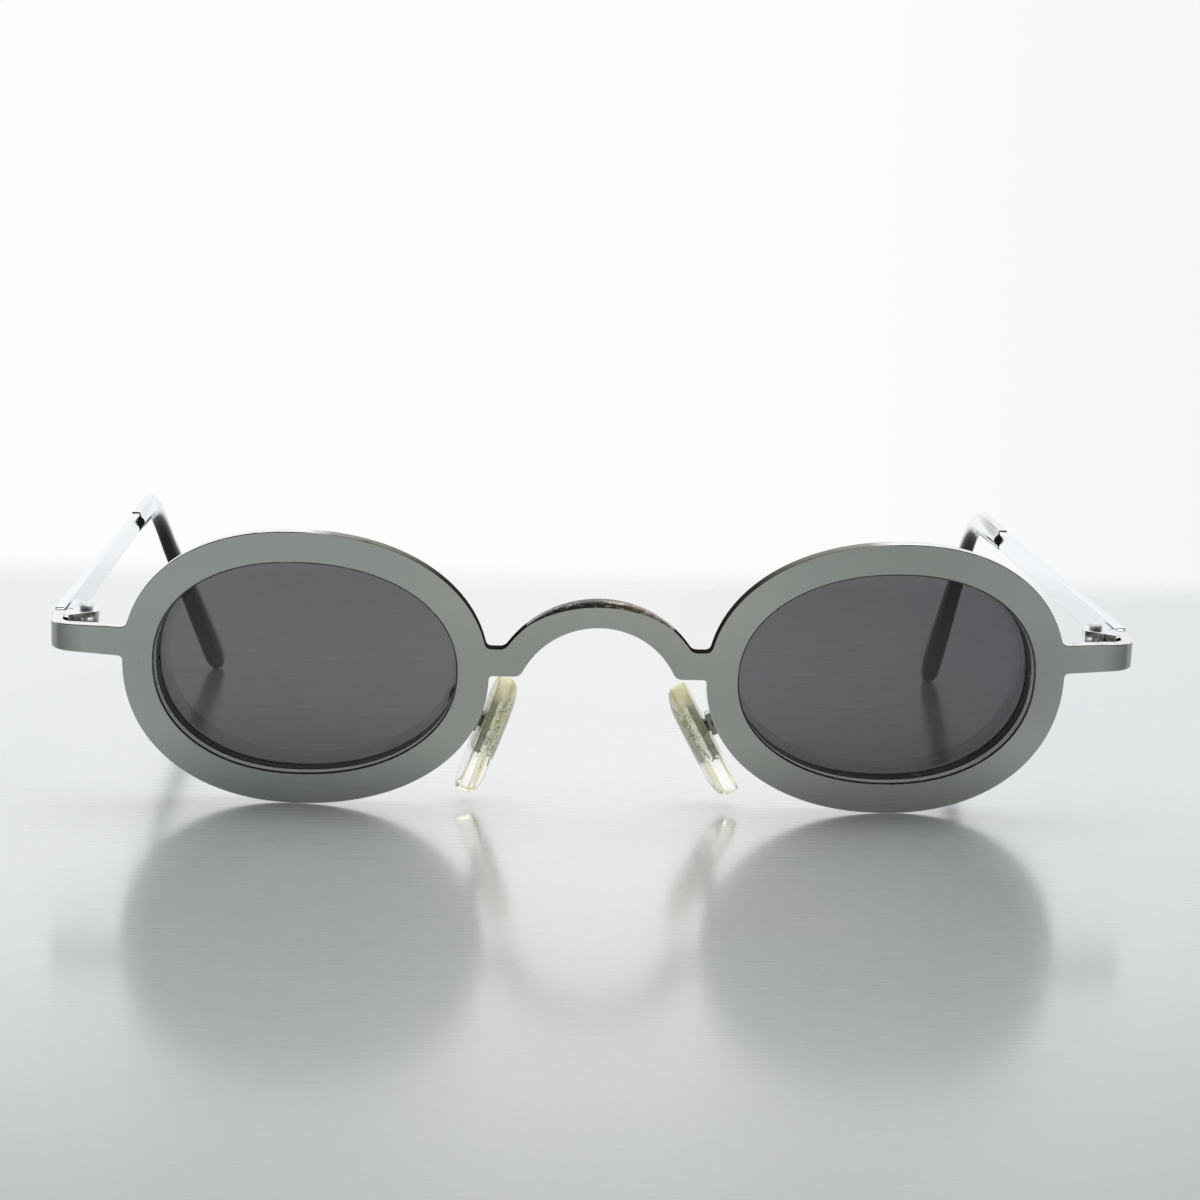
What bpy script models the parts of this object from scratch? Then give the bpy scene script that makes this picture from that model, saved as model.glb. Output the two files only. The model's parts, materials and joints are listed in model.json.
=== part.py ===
"""Small oval metal sunglasses with a flat mirror-like front, tinted lenses and folding temples.

Metres, +Z up, +X to the right of someone who faces the front, +Y towards the temple tips. The
glasses stand open on the ground plane, on the bottoms of the two ovals and on both temple tips.
The origin is on the ground, in the middle of the width and of the depth.
"""

import math

import bmesh
import bpy
from mathutils import Euler, Matrix, Vector

MM = 0.001

# Lens openings of the front plate
opening_width = 36.0 * MM
opening_height = 25.8 * MM
oval_power = 2.16
oval_taper = 0.03
oval_tilt = math.radians(-1.5)
rim_width = 3.84 * MM
rim_gap = 25.8 * MM

# Sheet of the front plate
plate_thickness = 1.4 * MM
bow_radius = 330.0 * MM
pantoscopic_angle = math.radians(5.5)
corner_cut = 0.6 * MM

# Bridge, between the two ovals
bar_height = 3.45 * MM
bar_rise = 1.775 * MM
bar_underside_length = 3.7 * MM
arch_rise = 6.2 * MM
arch_strip = 3.3 * MM
arch_foot_cut = 0.8 * MM

# End pieces, bent back to the hinges
end_height = 3.6 * MM
end_leg_height = 3.1 * MM
end_rise = 2.05 * MM
end_bar_length = 6.4 * MM
end_bend_radius = 3.0 * MM
end_leg_length = 3.5 * MM

# Eyewires, brazed behind the plate
braze_gap = 0.1 * MM
eyewire_width = 1.7 * MM
eyewire_depth = 3.0 * MM
groove_depth = 0.7 * MM
groove_half_width = 0.5 * MM
groove_share = 0.78
eyewire_split = 0.4 * MM

# Lenses
lens_thickness = 1.5 * MM
lens_bulge = 1.0 * MM
lens_clearance = 0.08 * MM
lens_bevel = 0.5 * MM
lens_bevel_half_width = 0.36 * MM

# Closing blocks and rim screws on the temple side of each eyewire
block_height = 2.1 * MM
block_side = 2.2 * MM
block_corner = 0.4 * MM
rim_screw_radius = 0.5 * MM
rim_screw_head_radius = 0.85 * MM
rim_screw_head_height = 0.45 * MM

# Hinges
hinge_inset = 3.8 * MM
butt_gap = 0.35 * MM
knuckle_radius = 1.6 * MM
knuckle_stack = 3.4 * MM
middle_knuckle = 1.0 * MM
knuckle_gap = 0.12 * MM
hinge_block_length = 4.3 * MM
hinge_block_inner_length = 1.6 * MM
hinge_block_taper = 0.6 * MM
hinge_strap_length = 7.5 * MM
hinge_strap_thickness = 0.8 * MM
hinge_strap_height = 2.6 * MM
hinge_screw_radius = 0.55 * MM
hinge_screw_head_radius = 0.85 * MM
hinge_screw_head_height = 0.45 * MM
running_clearance = 0.08 * MM
slot_width = 0.3 * MM
slot_depth = 0.25 * MM

# Temples
temple_thickness = 1.1 * MM
temple_height = 3.5 * MM
temple_end_height = 2.6 * MM
temple_toe_in = math.radians(2.0)
temple_straight = 88.5 * MM
temple_bend_radius = 11.0 * MM
temple_drop_angle = math.radians(65.0)
temple_inward_angle = {"left": math.radians(17.0), "right": math.radians(7.5)}
temple_inward_run = 15.0 * MM
core_height = 1.7 * MM
core_thickness = 1.1 * MM
core_taper = 6.0 * MM
core_cover = 8.0 * MM

# Plastic tips over the temple ends
tip_cover = 14.5 * MM
tip_drop_length = 23.7 * MM
tip_mouth_height = 3.7 * MM
tip_mouth_thickness = 2.3 * MM
tip_neck_height = 3.2 * MM
tip_neck_thickness = 1.95 * MM
tip_paddle_height = 5.4 * MM
tip_paddle_thickness = 2.8 * MM
tip_end_round = 3.4 * MM
sleeve_clearance = 0.12 * MM

# Nose pads, each on a boxed arm
pad_length = 14.6 * MM
pad_width = 7.6 * MM
pad_thickness = 2.1 * MM
pad_dome = 0.9 * MM
pad_edge = 0.25 * MM
pad_power = 2.5
pad_lean = math.radians(24.7)
pad_splay = math.radians(3.0)
pad_top_back = math.radians(9.0)
pad_rest_rock = math.radians(4.0)
pad_pivot_inset = 1.65 * MM
pad_pivot_drop = 7.1 * MM
pad_pivot_depth = 2.3 * MM
pad_standoff = 1.1 * MM
pad_centre_drop = 1.35 * MM
insert_length = 7.0 * MM
insert_width = 3.4 * MM
insert_thickness = 0.5 * MM
insert_cover = 0.5 * MM
insert_clearance = 0.1 * MM
tongue_width = 1.7 * MM
tongue_height = 1.4 * MM
tongue_reach = 0.6 * MM
box_wall = 0.35 * MM
box_side_clearance = 0.15 * MM
box_rock_clearance = 0.3 * MM
box_front = 0.8 * MM
box_back = 1.2 * MM
pad_screw_radius = 0.3 * MM
pad_screw_head_radius = 0.65 * MM
pad_screw_head_height = 0.4 * MM
arm_radius = 0.5 * MM
arm_loop = 4.2 * MM
arm_rise = 4.6 * MM

# How finely round shapes are cut into flat faces
oval_steps = 56
bow_step = 5.0 * MM
bend_steps = 6
round_steps = 16

SIDES = (("left", -1), ("right", 1))

oval_centre = rim_gap / 2 + rim_width + opening_width / 2
bend_start = oval_centre + opening_width / 2 + rim_width + end_bar_length
bend_start_angle = bend_start / bow_radius
bend_length = end_bend_radius * (math.pi / 2 - bend_start_angle)
sheet_end = bend_start + bend_length + end_leg_length
bar_top = bar_rise + bar_height / 2
bar_bottom = bar_rise - bar_height / 2
end_top = end_rise + end_height / 2
end_bottom = end_rise - end_height / 2
leg_top = end_rise + end_leg_height / 2
leg_bottom = end_rise - end_leg_height / 2
arch_half_chord = rim_gap / 2 - bar_underside_length
arch_inner = (arch_half_chord**2 + arch_rise**2) / (2 * arch_rise)
arch_outer = arch_inner + arch_strip
arch_centre = bar_bottom + arch_rise - arch_inner
eyewire_front = plate_thickness + braze_gap
eyewire_back = eyewire_front + eyewire_depth
groove_middle = eyewire_front + groove_share * eyewire_depth
temple_offset = hinge_inset - temple_thickness / 2
tip_start = temple_straight - tip_cover
bend_run = temple_bend_radius * temple_drop_angle
tip_end = {
    side: temple_straight + bend_run + tip_drop_length / math.cos(angle)
    for side, angle in temple_inward_angle.items()
}


def clear_scene():
    for obj in list(bpy.data.objects):
        bpy.data.objects.remove(obj, do_unlink=True)
    for collection in list(bpy.data.collections):
        bpy.data.collections.remove(collection)


def new_collection(name):
    collection = bpy.data.collections.new(name)
    bpy.context.scene.collection.children.link(collection)
    return collection


def material(name, colour, roughness, metallic, alpha=1.0):
    made = bpy.data.materials.new(name)
    made.use_nodes = True
    shader = made.node_tree.nodes["Principled BSDF"]
    shader.inputs["Base Color"].default_value = (*colour, 1.0)
    shader.inputs["Roughness"].default_value = roughness
    shader.inputs["Metallic"].default_value = metallic
    shader.inputs["Alpha"].default_value = alpha
    made.diffuse_color = (*colour, alpha)
    return made


def empty(name, parent, location, rotation=(0.0, 0.0, 0.0)):
    made = bpy.data.objects.new(name, None)
    parts.objects.link(made)
    made.parent = parent
    made.location = location
    made.rotation_euler = rotation
    made.empty_display_size = 5 * MM
    return made


def add_object(name, mesh, finish, parent):
    """Links the mesh as a part, shaded smooth except at its sharp edges."""
    mesh.name = name
    mesh.materials.clear()
    mesh.materials.append(finish)
    mesh.shade_smooth()
    mesh.set_sharp_from_angle(angle=math.radians(30))
    obj = bpy.data.objects.new(name, mesh)
    parts.objects.link(obj)
    obj.parent = parent
    return obj


def add_cutter(name, mesh):
    obj = bpy.data.objects.new(name, mesh)
    cutters.objects.link(obj)
    obj.hide_render = True
    obj.display_type = "WIRE"
    return obj


def finished_mesh(bm, name):
    bmesh.ops.recalc_face_normals(bm, faces=bm.faces)
    mesh = bpy.data.meshes.new(name)
    bm.to_mesh(mesh)
    bm.free()
    return mesh


def loft(rings, name):
    """A closed mesh through rings of equally many points, with its two ends capped."""
    bm = bmesh.new()
    rows = [[bm.verts.new(point) for point in ring] for ring in rings]
    for row, following in zip(rows, rows[1:]):
        for i in range(len(row)):
            j = (i + 1) % len(row)
            bm.faces.new((row[i], row[j], following[j], following[i]))
    bm.faces.new(rows[0])
    bm.faces.new(rows[-1])
    return finished_mesh(bm, name)


def mesh_of(obj):
    """The evaluated mesh of an object, welded, which then takes the object's place."""
    graph = bpy.context.evaluated_depsgraph_get()
    graph.update()
    mesh = bpy.data.meshes.new_from_object(obj.evaluated_get(graph))
    mesh.transform(obj.matrix_world)
    bpy.data.objects.remove(obj, do_unlink=True)
    bm = bmesh.new()
    bm.from_mesh(mesh)
    bmesh.ops.remove_doubles(bm, verts=bm.verts, dist=0.001 * MM)
    bmesh.ops.recalc_face_normals(bm, faces=bm.faces)
    bm.to_mesh(mesh)
    bm.free()
    return mesh


def extruded(name, outlines, thickness):
    """A flat piece in the XY plane, from z 0 to its thickness. Outlines inside others are holes."""
    curve = bpy.data.curves.new(name, "CURVE")
    curve.dimensions = "2D"
    curve.fill_mode = "BOTH"
    curve.extrude = thickness / 2
    for outline in outlines:
        spline = curve.splines.new("POLY")
        spline.points.add(len(outline) - 1)
        for point, (x, y) in zip(spline.points, outline):
            point.co = (x, y, 0.0, 1.0)
        spline.use_cyclic_u = True
    obj = bpy.data.objects.new(name, curve)
    cutters.objects.link(obj)
    mesh = mesh_of(obj)
    mesh.transform(Matrix.Translation((0.0, 0.0, thickness / 2)))
    return mesh


def tube(name, points, radius):
    curve = bpy.data.curves.new(name, "CURVE")
    curve.dimensions = "3D"
    curve.bevel_depth = radius
    curve.bevel_resolution = 2
    curve.use_fill_caps = True
    spline = curve.splines.new("POLY")
    spline.points.add(len(points) - 1)
    for point, place in zip(spline.points, points):
        point.co = (*place, 1.0)
    obj = bpy.data.objects.new(name, curve)
    cutters.objects.link(obj)
    return mesh_of(obj)


def turned(name, profile):
    """A solid of revolution about Z. The profile runs down its outer side, from axis to axis."""
    mesh = bpy.data.meshes.new(name)
    edges = [(i, i + 1) for i in range(len(profile) - 1)]
    mesh.from_pydata([(radius, 0.0, height) for radius, height in profile], edges, [])
    obj = bpy.data.objects.new(name, mesh)
    cutters.objects.link(obj)
    screw = obj.modifiers.new("Turn", "SCREW")
    screw.steps = screw.render_steps = round_steps
    screw.use_merge_vertices = True
    screw.merge_threshold = 0.001 * MM
    return mesh_of(obj)


def block(name, low, high):
    """A box between two corners."""
    bm = bmesh.new()
    bmesh.ops.create_cube(bm, size=1.0)
    size = [b - a for a, b in zip(low, high)]
    middle = [(a + b) / 2 for a, b in zip(low, high)]
    bmesh.ops.scale(bm, vec=size, verts=bm.verts)
    bmesh.ops.translate(bm, vec=middle, verts=bm.verts)
    return finished_mesh(bm, name)


def cylinder(name, radius, low, high):
    """A cylinder about Z between two heights."""
    bm = bmesh.new()
    bmesh.ops.create_cone(
        bm, cap_ends=True, segments=round_steps, radius1=radius, radius2=radius, depth=high - low
    )
    bmesh.ops.translate(bm, vec=(0.0, 0.0, (low + high) / 2), verts=bm.verts)
    return finished_mesh(bm, name)


def combined(mesh, tools, operation):
    """The mesh with each tool mesh cut from it or joined to it."""
    body = add_cutter("body", mesh)
    for tool in tools:
        helper = add_cutter("tool", tool)
        change = body.modifiers.new("Boolean", "BOOLEAN")
        change.operation = operation
        change.object = helper
    result = mesh_of(body)
    for helper in list(cutters.objects):
        bpy.data.objects.remove(helper, do_unlink=True)
    return result


def mirrored(mesh, sign):
    """The mesh as built for the right side, or its mirror image for the left."""
    if sign < 0:
        mesh.transform(Matrix.Scale(-1, 4, (1.0, 0.0, 0.0)))
        mesh.flip_normals()
    return mesh


def spread(start, end, count):
    return [start + (end - start) * i / (count - 1) for i in range(count)]


def circle(radius, count, centre=(0.0, 0.0)):
    turns = [2 * math.pi * i / count for i in range(count)]
    return [(centre[0] + radius * math.cos(a), centre[1] + radius * math.sin(a)) for a in turns]


def signed_power(value, power):
    return math.copysign(abs(value) ** power, value)


def on_front(s, t, depth):
    """The place, before the front tilts, of a point s along the sheet, t up it and depth behind."""
    side = math.copysign(1.0, s)
    s = abs(s)
    bow = min(s, bend_start)
    angle = bow / bow_radius
    x = bow_radius * math.sin(angle)
    y = bow_radius * (1 - math.cos(angle))
    if s > bend_start:
        turned_by = min(s - bend_start, bend_length) / end_bend_radius
        x += end_bend_radius * (math.sin(angle + turned_by) - math.sin(angle))
        y += end_bend_radius * (math.cos(angle) - math.cos(angle + turned_by))
        angle += turned_by
        y += max(s - bend_start - bend_length, 0.0)
    return Vector((side * (x - depth * math.sin(angle)), y + depth * math.cos(angle), t))


def oval_point(angle, grow=0.0):
    """A point of the right opening's outline, grown outwards. Angle 0 is its temple side."""
    half_width = opening_width / 2 + grow
    half_height = opening_height / 2 + grow
    across = signed_power(math.cos(angle), 2 / oval_power)
    up = signed_power(math.sin(angle), 2 / oval_power)
    x = half_width * across
    y = half_height * up * (1 + oval_taper * across)
    s = oval_centre + x * math.cos(oval_tilt) - y * math.sin(oval_tilt)
    return s, x * math.sin(oval_tilt) + y * math.cos(oval_tilt)


def oval_angle(t, low, high):
    """The angle between low and high at which the rim's outer outline is at height t."""
    rising = oval_point(high, rim_width)[1] > oval_point(low, rim_width)[1]
    for _ in range(50):
        middle = (low + high) / 2
        if (oval_point(middle, rim_width)[1] < t) == rising:
            low = middle
        else:
            high = middle
    return (low + high) / 2


def oval_turn(angle, length):
    """How far the angle turns along a length of the rim's outer outline."""
    step = 1e-4
    ahead = Vector(oval_point(angle + step, rim_width))
    return length * step / (ahead - Vector(oval_point(angle, rim_width))).length


def arch_point(radius, angle):
    return radius * math.cos(angle), arch_centre + radius * math.sin(angle)


def corner(before, point, after, steps=4):
    """A round from before to after, drawn towards the sharp corner point."""
    before, point, after = Vector(before), Vector(point), Vector(after)
    rounded = []
    for share in spread(0.0, 1.0, steps):
        rest = 1 - share
        place = before * rest**2 + point * 2 * rest * share + after * share**2
        rounded.append((place.x, place.y))
    return rounded


def rim_arc(start, end):
    """The rim's outer outline between two angles, which fall."""
    count = max(3, round(oval_steps * (start - end) / (2 * math.pi)))
    return [oval_point(angle, rim_width) for angle in spread(start, end, count)]


def plate_outline():
    """The front's outline, from the crown of the arch round the right half, then mirrored."""
    outer_foot = math.asin((bar_top - arch_centre) / arch_outer)
    inner_foot = math.asin((bar_bottom - arch_centre) / arch_inner)
    cut = corner_cut
    foot = arch_foot_cut
    nasal_top = oval_angle(bar_top, math.pi / 2, 3 * math.pi / 2)
    nasal_bottom = oval_angle(bar_bottom, math.pi / 2, 3 * math.pi / 2)
    temple_top = oval_angle(end_top, -math.pi / 2, math.pi / 2)
    temple_bottom = oval_angle(end_bottom, -math.pi / 2, math.pi / 2)

    arch_out = spread(math.pi / 2, outer_foot + cut / arch_outer, 12)
    half = [arch_point(arch_outer, angle) for angle in arch_out[:-1]]
    arch_corner = arch_point(arch_outer, outer_foot)
    half += corner(arch_point(arch_outer, arch_out[-1]), arch_corner, (arch_corner[0] + cut, bar_top))

    rim_corner = oval_point(nasal_top, rim_width)
    start = nasal_top - oval_turn(nasal_top, cut)
    end = temple_top + oval_turn(temple_top, cut)
    half += corner((rim_corner[0] - cut, bar_top), rim_corner, oval_point(start, rim_width))
    half += rim_arc(start, end)[1:-1]
    rim_corner = oval_point(temple_top, rim_width)
    half += corner(oval_point(end, rim_width), rim_corner, (rim_corner[0] + cut, end_top))
    half += [(sheet_end, leg_top), (sheet_end, leg_bottom)]

    rim_corner = oval_point(temple_bottom, rim_width)
    start = temple_bottom - oval_turn(temple_bottom, cut)
    end = nasal_bottom - 2 * math.pi + oval_turn(nasal_bottom, cut)
    half += corner((rim_corner[0] + cut, end_bottom), rim_corner, oval_point(start, rim_width))
    half += rim_arc(start, end)[1:-1]
    rim_corner = oval_point(nasal_bottom, rim_width)
    half += corner(oval_point(end, rim_width), rim_corner, (rim_corner[0] - cut, bar_bottom))

    arch_corner = arch_point(arch_inner, inner_foot)
    arch_in = spread(inner_foot + foot / arch_inner, math.pi / 2, 10)
    half += corner((arch_corner[0] + foot, bar_bottom), arch_corner, arch_point(arch_inner, arch_in[0]))
    half += [arch_point(arch_inner, angle) for angle in arch_in[1:]]
    return half + [(-s, t) for s, t in reversed(half[1:-1])]


def front_plate(parent, finish):
    """One flat sheet with both openings cut out, bowed, and bent back at its two ends."""
    turns = [2 * math.pi * i / oval_steps for i in range(oval_steps)]
    opening = [oval_point(angle) for angle in turns]
    other = [(-s, t) for s, t in opening]
    mesh = extruded("front_plate", [plate_outline(), opening, other], plate_thickness)
    bm = bmesh.new()
    bm.from_mesh(mesh)
    bow_count = math.ceil(bend_start / bow_step)
    cuts = [bend_start * i / bow_count for i in range(bow_count + 1)]
    cuts += [bend_start + bend_length * i / bend_steps for i in range(1, bend_steps + 1)]
    for place in sorted({-cut for cut in cuts} | set(cuts)):
        geometry = list(bm.verts) + list(bm.edges) + list(bm.faces)
        bmesh.ops.bisect_plane(bm, geom=geometry, plane_co=(place, 0, 0), plane_no=(1, 0, 0))
    bmesh.ops.triangulate(bm, faces=bm.faces)
    for vert in bm.verts:
        vert.co = on_front(vert.co.x, vert.co.y, vert.co.z)
    return add_object("front_plate", finished_mesh(bm, "front_plate"), finish, parent)


def eyewire(side, sign, parent, finish):
    """A grooved wire round the lens, open on the temple side between its two closing blocks."""
    lip = groove_half_width
    profile = (
        (0.0, eyewire_front),
        (eyewire_width, eyewire_front),
        (eyewire_width, eyewire_back),
        (0.0, eyewire_back),
        (0.0, groove_middle + lip),
        (groove_depth, groove_middle),
        (0.0, groove_middle - lip),
    )
    half_split = oval_turn(0.0, eyewire_split / 2)
    rings = []
    for angle in spread(half_split, 2 * math.pi - half_split, oval_steps + 1):
        places = [(oval_point(angle, grow), depth) for grow, depth in profile]
        rings.append([on_front(s, t, depth) for (s, t), depth in places])
    mesh = mirrored(loft(rings, "eyewire"), sign)
    return add_object(f"{side}_eyewire", mesh, finish, parent)


def lens(side, sign, parent, finish):
    """A domed lens whose bevelled edge sits in the eyewire's groove."""
    edge = -lens_clearance
    front = groove_middle - lens_thickness / 2
    rims = (
        (edge, groove_middle - lens_bevel_half_width),
        (lens_bevel, groove_middle),
        (edge, groove_middle + lens_bevel_half_width),
    )
    shares = (0.2, 0.5, 0.78, 1.0)
    turns = [2 * math.pi * i / oval_steps for i in range(oval_steps)]

    def ring(grow, share, depth):
        points = []
        for angle in turns:
            s, t = oval_point(angle, grow)
            points.append(on_front(oval_centre + (s - oval_centre) * share, t * share, depth))
        return points

    domed = [(edge, share, front - lens_bulge * (1 - share**2)) for share in shares]
    rings = [ring(*place) for place in domed]
    rings += [ring(grow, 1.0, depth) for grow, depth in rims]
    rings += [ring(grow, share, depth + lens_thickness) for grow, share, depth in reversed(domed)]
    mesh = mirrored(loft(rings, "lens"), sign)
    return add_object(f"{side}_lens", mesh, finish, parent)


def slotted_screw(name, radius, head_radius, head_height, length):
    """A screw about Z, its head's underside at z 0 and its shank below."""
    profile = (
        (0.0, head_height),
        (head_radius * 0.8, head_height),
        (head_radius, head_height * 0.6),
        (head_radius, 0.0),
        (radius, 0.0),
        (radius, -length + radius * 0.4),
        (radius * 0.6, -length),
        (0.0, -length),
    )
    low = (-head_radius * 1.5, -slot_width / 2, head_height - slot_depth)
    high = (head_radius * 1.5, slot_width / 2, head_height * 1.5)
    return combined(turned(name, profile), [block("slot", low, high)], "DIFFERENCE")


def rounded_square(side, cut):
    half = side / 2
    inner = half - cut
    return [
        (half, -inner), (half, inner), (inner, half), (-inner, half),
        (-half, inner), (-half, -inner), (-inner, -half), (inner, -half),
    ]


def closing_blocks(side, sign, parent, metal, screw_finish):
    """Two blocks brazed to the ends of the eyewire, drawn together by the rim screw."""
    middle_s = oval_centre + opening_width / 2 + eyewire_width + braze_gap + block_side / 2
    middle_depth = eyewire_front + eyewire_depth - block_side / 2
    place = on_front(middle_s, oval_point(0.0)[1], middle_depth)
    place.x *= sign
    turn = Euler((0.0, 0.0, sign * middle_s / bow_radius))
    bore = circle(rim_screw_radius + running_clearance, round_steps)
    for name, low in (("upper", eyewire_split / 2), ("lower", -eyewire_split / 2 - block_height)):
        mesh = extruded("block", [rounded_square(block_side, block_corner), bore], block_height)
        mesh.transform(Matrix.Translation((0.0, 0.0, low)))
        obj = add_object(f"{side}_{name}_closing_block", mesh, metal, parent)
        obj.location = place
        obj.rotation_euler = turn
    length = eyewire_split + 2 * block_height
    mesh = slotted_screw(
        "rim_screw", rim_screw_radius, rim_screw_head_radius, rim_screw_head_height, length
    )
    mesh.transform(Matrix.Translation((0.0, 0.0, length / 2 + running_clearance)))
    obj = add_object(f"{side}_rim_screw", mesh, screw_finish, parent)
    obj.location = place
    obj.rotation_euler = turn


def hinge_place(sign):
    """The hinge axis at the temple's mid height, in the frame in which the temples are level."""
    leg_end = on_front(sheet_end, end_rise, 0.0)
    leg_end.rotate(Euler((pantoscopic_angle, 0.0, 0.0)))
    return Vector((sign * (leg_end.x - hinge_inset), leg_end.y + butt_gap / 2, leg_end.z))


def front_hinge_leaf(side, sign, parent, finish):
    """A slanted block on the inner face of the leg, with two knuckles round the hinge screw."""
    leg_face = hinge_inset - plate_thickness - braze_gap
    leg_front = -(end_leg_length - braze_gap)
    nose = leg_face - hinge_block_taper
    corners = [
        (-knuckle_radius, -hinge_block_inner_length),
        (nose, -hinge_block_length),
        (leg_face, leg_front),
        (leg_face, -butt_gap),
        (knuckle_radius, -butt_gap),
    ]
    arc = [
        (knuckle_radius * math.cos(angle), knuckle_radius * math.sin(angle))
        for angle in spread(0.0, math.pi, 9)
    ]
    bore = circle(hinge_screw_radius + running_clearance, round_steps)
    mesh = extruded("front_leaf", [corners + arc, bore], knuckle_stack)
    mesh.transform(Matrix.Translation((0.0, 0.0, -knuckle_stack / 2)))
    half_slot = middle_knuckle / 2 + knuckle_gap
    slot_radius = knuckle_radius + 2 * knuckle_gap
    slot = cylinder("slot", slot_radius, -half_slot, half_slot)
    mesh = mirrored(combined(mesh, [slot], "DIFFERENCE"), sign)
    return add_object(f"{side}_front_hinge_leaf", mesh, finish, parent)


def temple_hinge_leaf(side, sign, parent, finish):
    """The middle knuckle, on a strap brazed to the inner face of the temple."""
    face = hinge_inset - temple_thickness - braze_gap
    inner = face - hinge_strap_thickness
    strap_start = knuckle_radius + 5 * knuckle_gap
    corners = [
        (face, butt_gap),
        (face, strap_start + hinge_strap_thickness),
        (inner, strap_start + hinge_strap_thickness),
        (inner, knuckle_radius),
        (0.0, knuckle_radius),
    ]
    arc = [
        (knuckle_radius * math.cos(angle), knuckle_radius * math.sin(angle))
        for angle in spread(math.pi / 2, 2 * math.pi, 13)[1:]
    ]
    bore = circle(hinge_screw_radius + running_clearance, round_steps)
    knuckle = extruded("temple_leaf", [corners + arc, bore], middle_knuckle)
    knuckle.transform(Matrix.Translation((0.0, 0.0, -middle_knuckle / 2)))
    low = (inner, strap_start, -hinge_strap_height / 2)
    high = (face, hinge_strap_length, hinge_strap_height / 2)
    mesh = mirrored(combined(knuckle, [block("strap", low, high)], "UNION"), sign)
    return add_object(f"{side}_temple_hinge_leaf", mesh, finish, parent)


def hinge_screw(side, parent, finish):
    length = knuckle_stack + running_clearance + hinge_screw_head_height / 2
    mesh = slotted_screw(
        "hinge_screw", hinge_screw_radius, hinge_screw_head_radius, hinge_screw_head_height, length
    )
    mesh.transform(Matrix.Translation((0.0, 0.0, knuckle_stack / 2 + running_clearance)))
    return add_object(f"{side}_hinge_screw", mesh, finish, parent)


def temple_station(length, side):
    """Place, sideways axis and height axis of a temple's centre line, as on the right."""
    steps = 40
    reach = max(length - temple_straight, 0.0)
    place = Vector((temple_offset, min(length, temple_straight), 0.0))
    heading = Vector((0.0, 1.0, 0.0))
    for i in range(steps):
        along = reach * (i + 0.5) / steps
        drop = min(along / temple_bend_radius, temple_drop_angle)
        inward = temple_inward_angle[side] * min(along / temple_inward_run, 1.0)
        level = math.cos(inward)
        heading = Vector((-math.sin(inward), level * math.cos(drop), -level * math.sin(drop)))
        place += heading * (reach / steps)
    sideways = Vector((1.0, 0.0, 0.0))
    sideways -= heading * sideways.dot(heading)
    sideways.normalize()
    return place, sideways, sideways.cross(heading)


def section(length, side, thickness, height, power, count):
    """A ring of points round the temple's centre line, from an oval to nearly a rectangle."""
    place, sideways, upward = temple_station(length, side)
    ring = []
    for i in range(count):
        angle = 2 * math.pi * (i + 0.5) / count
        across = thickness / 2 * signed_power(math.cos(angle), 2 / power)
        up = height / 2 * signed_power(math.sin(angle), 2 / power)
        ring.append(place + sideways * across + upward * up)
    return ring


def core_lengths(side):
    """Stations along the part of the temple that the tip covers."""
    bend_end = temple_straight + bend_run
    core_end = tip_end[side] - core_cover
    lengths = [tip_start, tip_start + core_taper, temple_straight]
    lengths += spread(temple_straight, bend_end, 7)[1:]
    return lengths + [(bend_end + core_end) / 2, core_end]


def core_size(length):
    share = min(max((length - tip_start) / core_taper, 0.0), 1.0)
    thickness = temple_thickness + (core_thickness - temple_thickness) * share
    return thickness, temple_end_height + (core_height - temple_end_height) * share


def rectangle(length, side, thickness, height):
    place, sideways, upward = temple_station(length, side)
    corners = ((-1, -1), (1, -1), (1, 1), (-1, 1))
    return [place + sideways * (a * thickness / 2) + upward * (b * height / 2) for a, b in corners]


def temple(side, sign, parent, finish):
    """A flat metal strip that narrows to the core inside the plastic tip."""
    rings = [rectangle(butt_gap / 2, side, temple_thickness, temple_height)]
    rings += [rectangle(hinge_strap_length, side, temple_thickness, temple_height)]
    rings += [rectangle(length, side, *core_size(length)) for length in core_lengths(side)]
    mesh = mirrored(loft(rings, "temple"), sign)
    return add_object(f"{side}_temple", mesh, finish, parent)


def tip_size(length, side):
    """Thickness and height of the plastic tip at a length from the hinge."""
    neck = temple_straight + bend_run / 2
    paddle = tip_end[side] - tip_end_round
    if length < neck:
        share = (length - tip_start) / (neck - tip_start)
        share = share * share * (3 - 2 * share)
        thickness = tip_mouth_thickness + (tip_neck_thickness - tip_mouth_thickness) * share
        height = tip_mouth_height + (tip_neck_height - tip_mouth_height) * share
    else:
        share = min((length - neck) / (paddle - neck), 1.0)
        share = share * share * (3 - 2 * share)
        thickness = tip_neck_thickness + (tip_paddle_thickness - tip_neck_thickness) * share
        height = tip_neck_height + (tip_paddle_height - tip_neck_height) * share
    end = max(length - paddle, 0.0) / tip_end_round
    shrink = math.sqrt(max(1 - end * end, 0.0))
    return thickness * (0.35 + 0.65 * shrink), height * shrink


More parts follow.
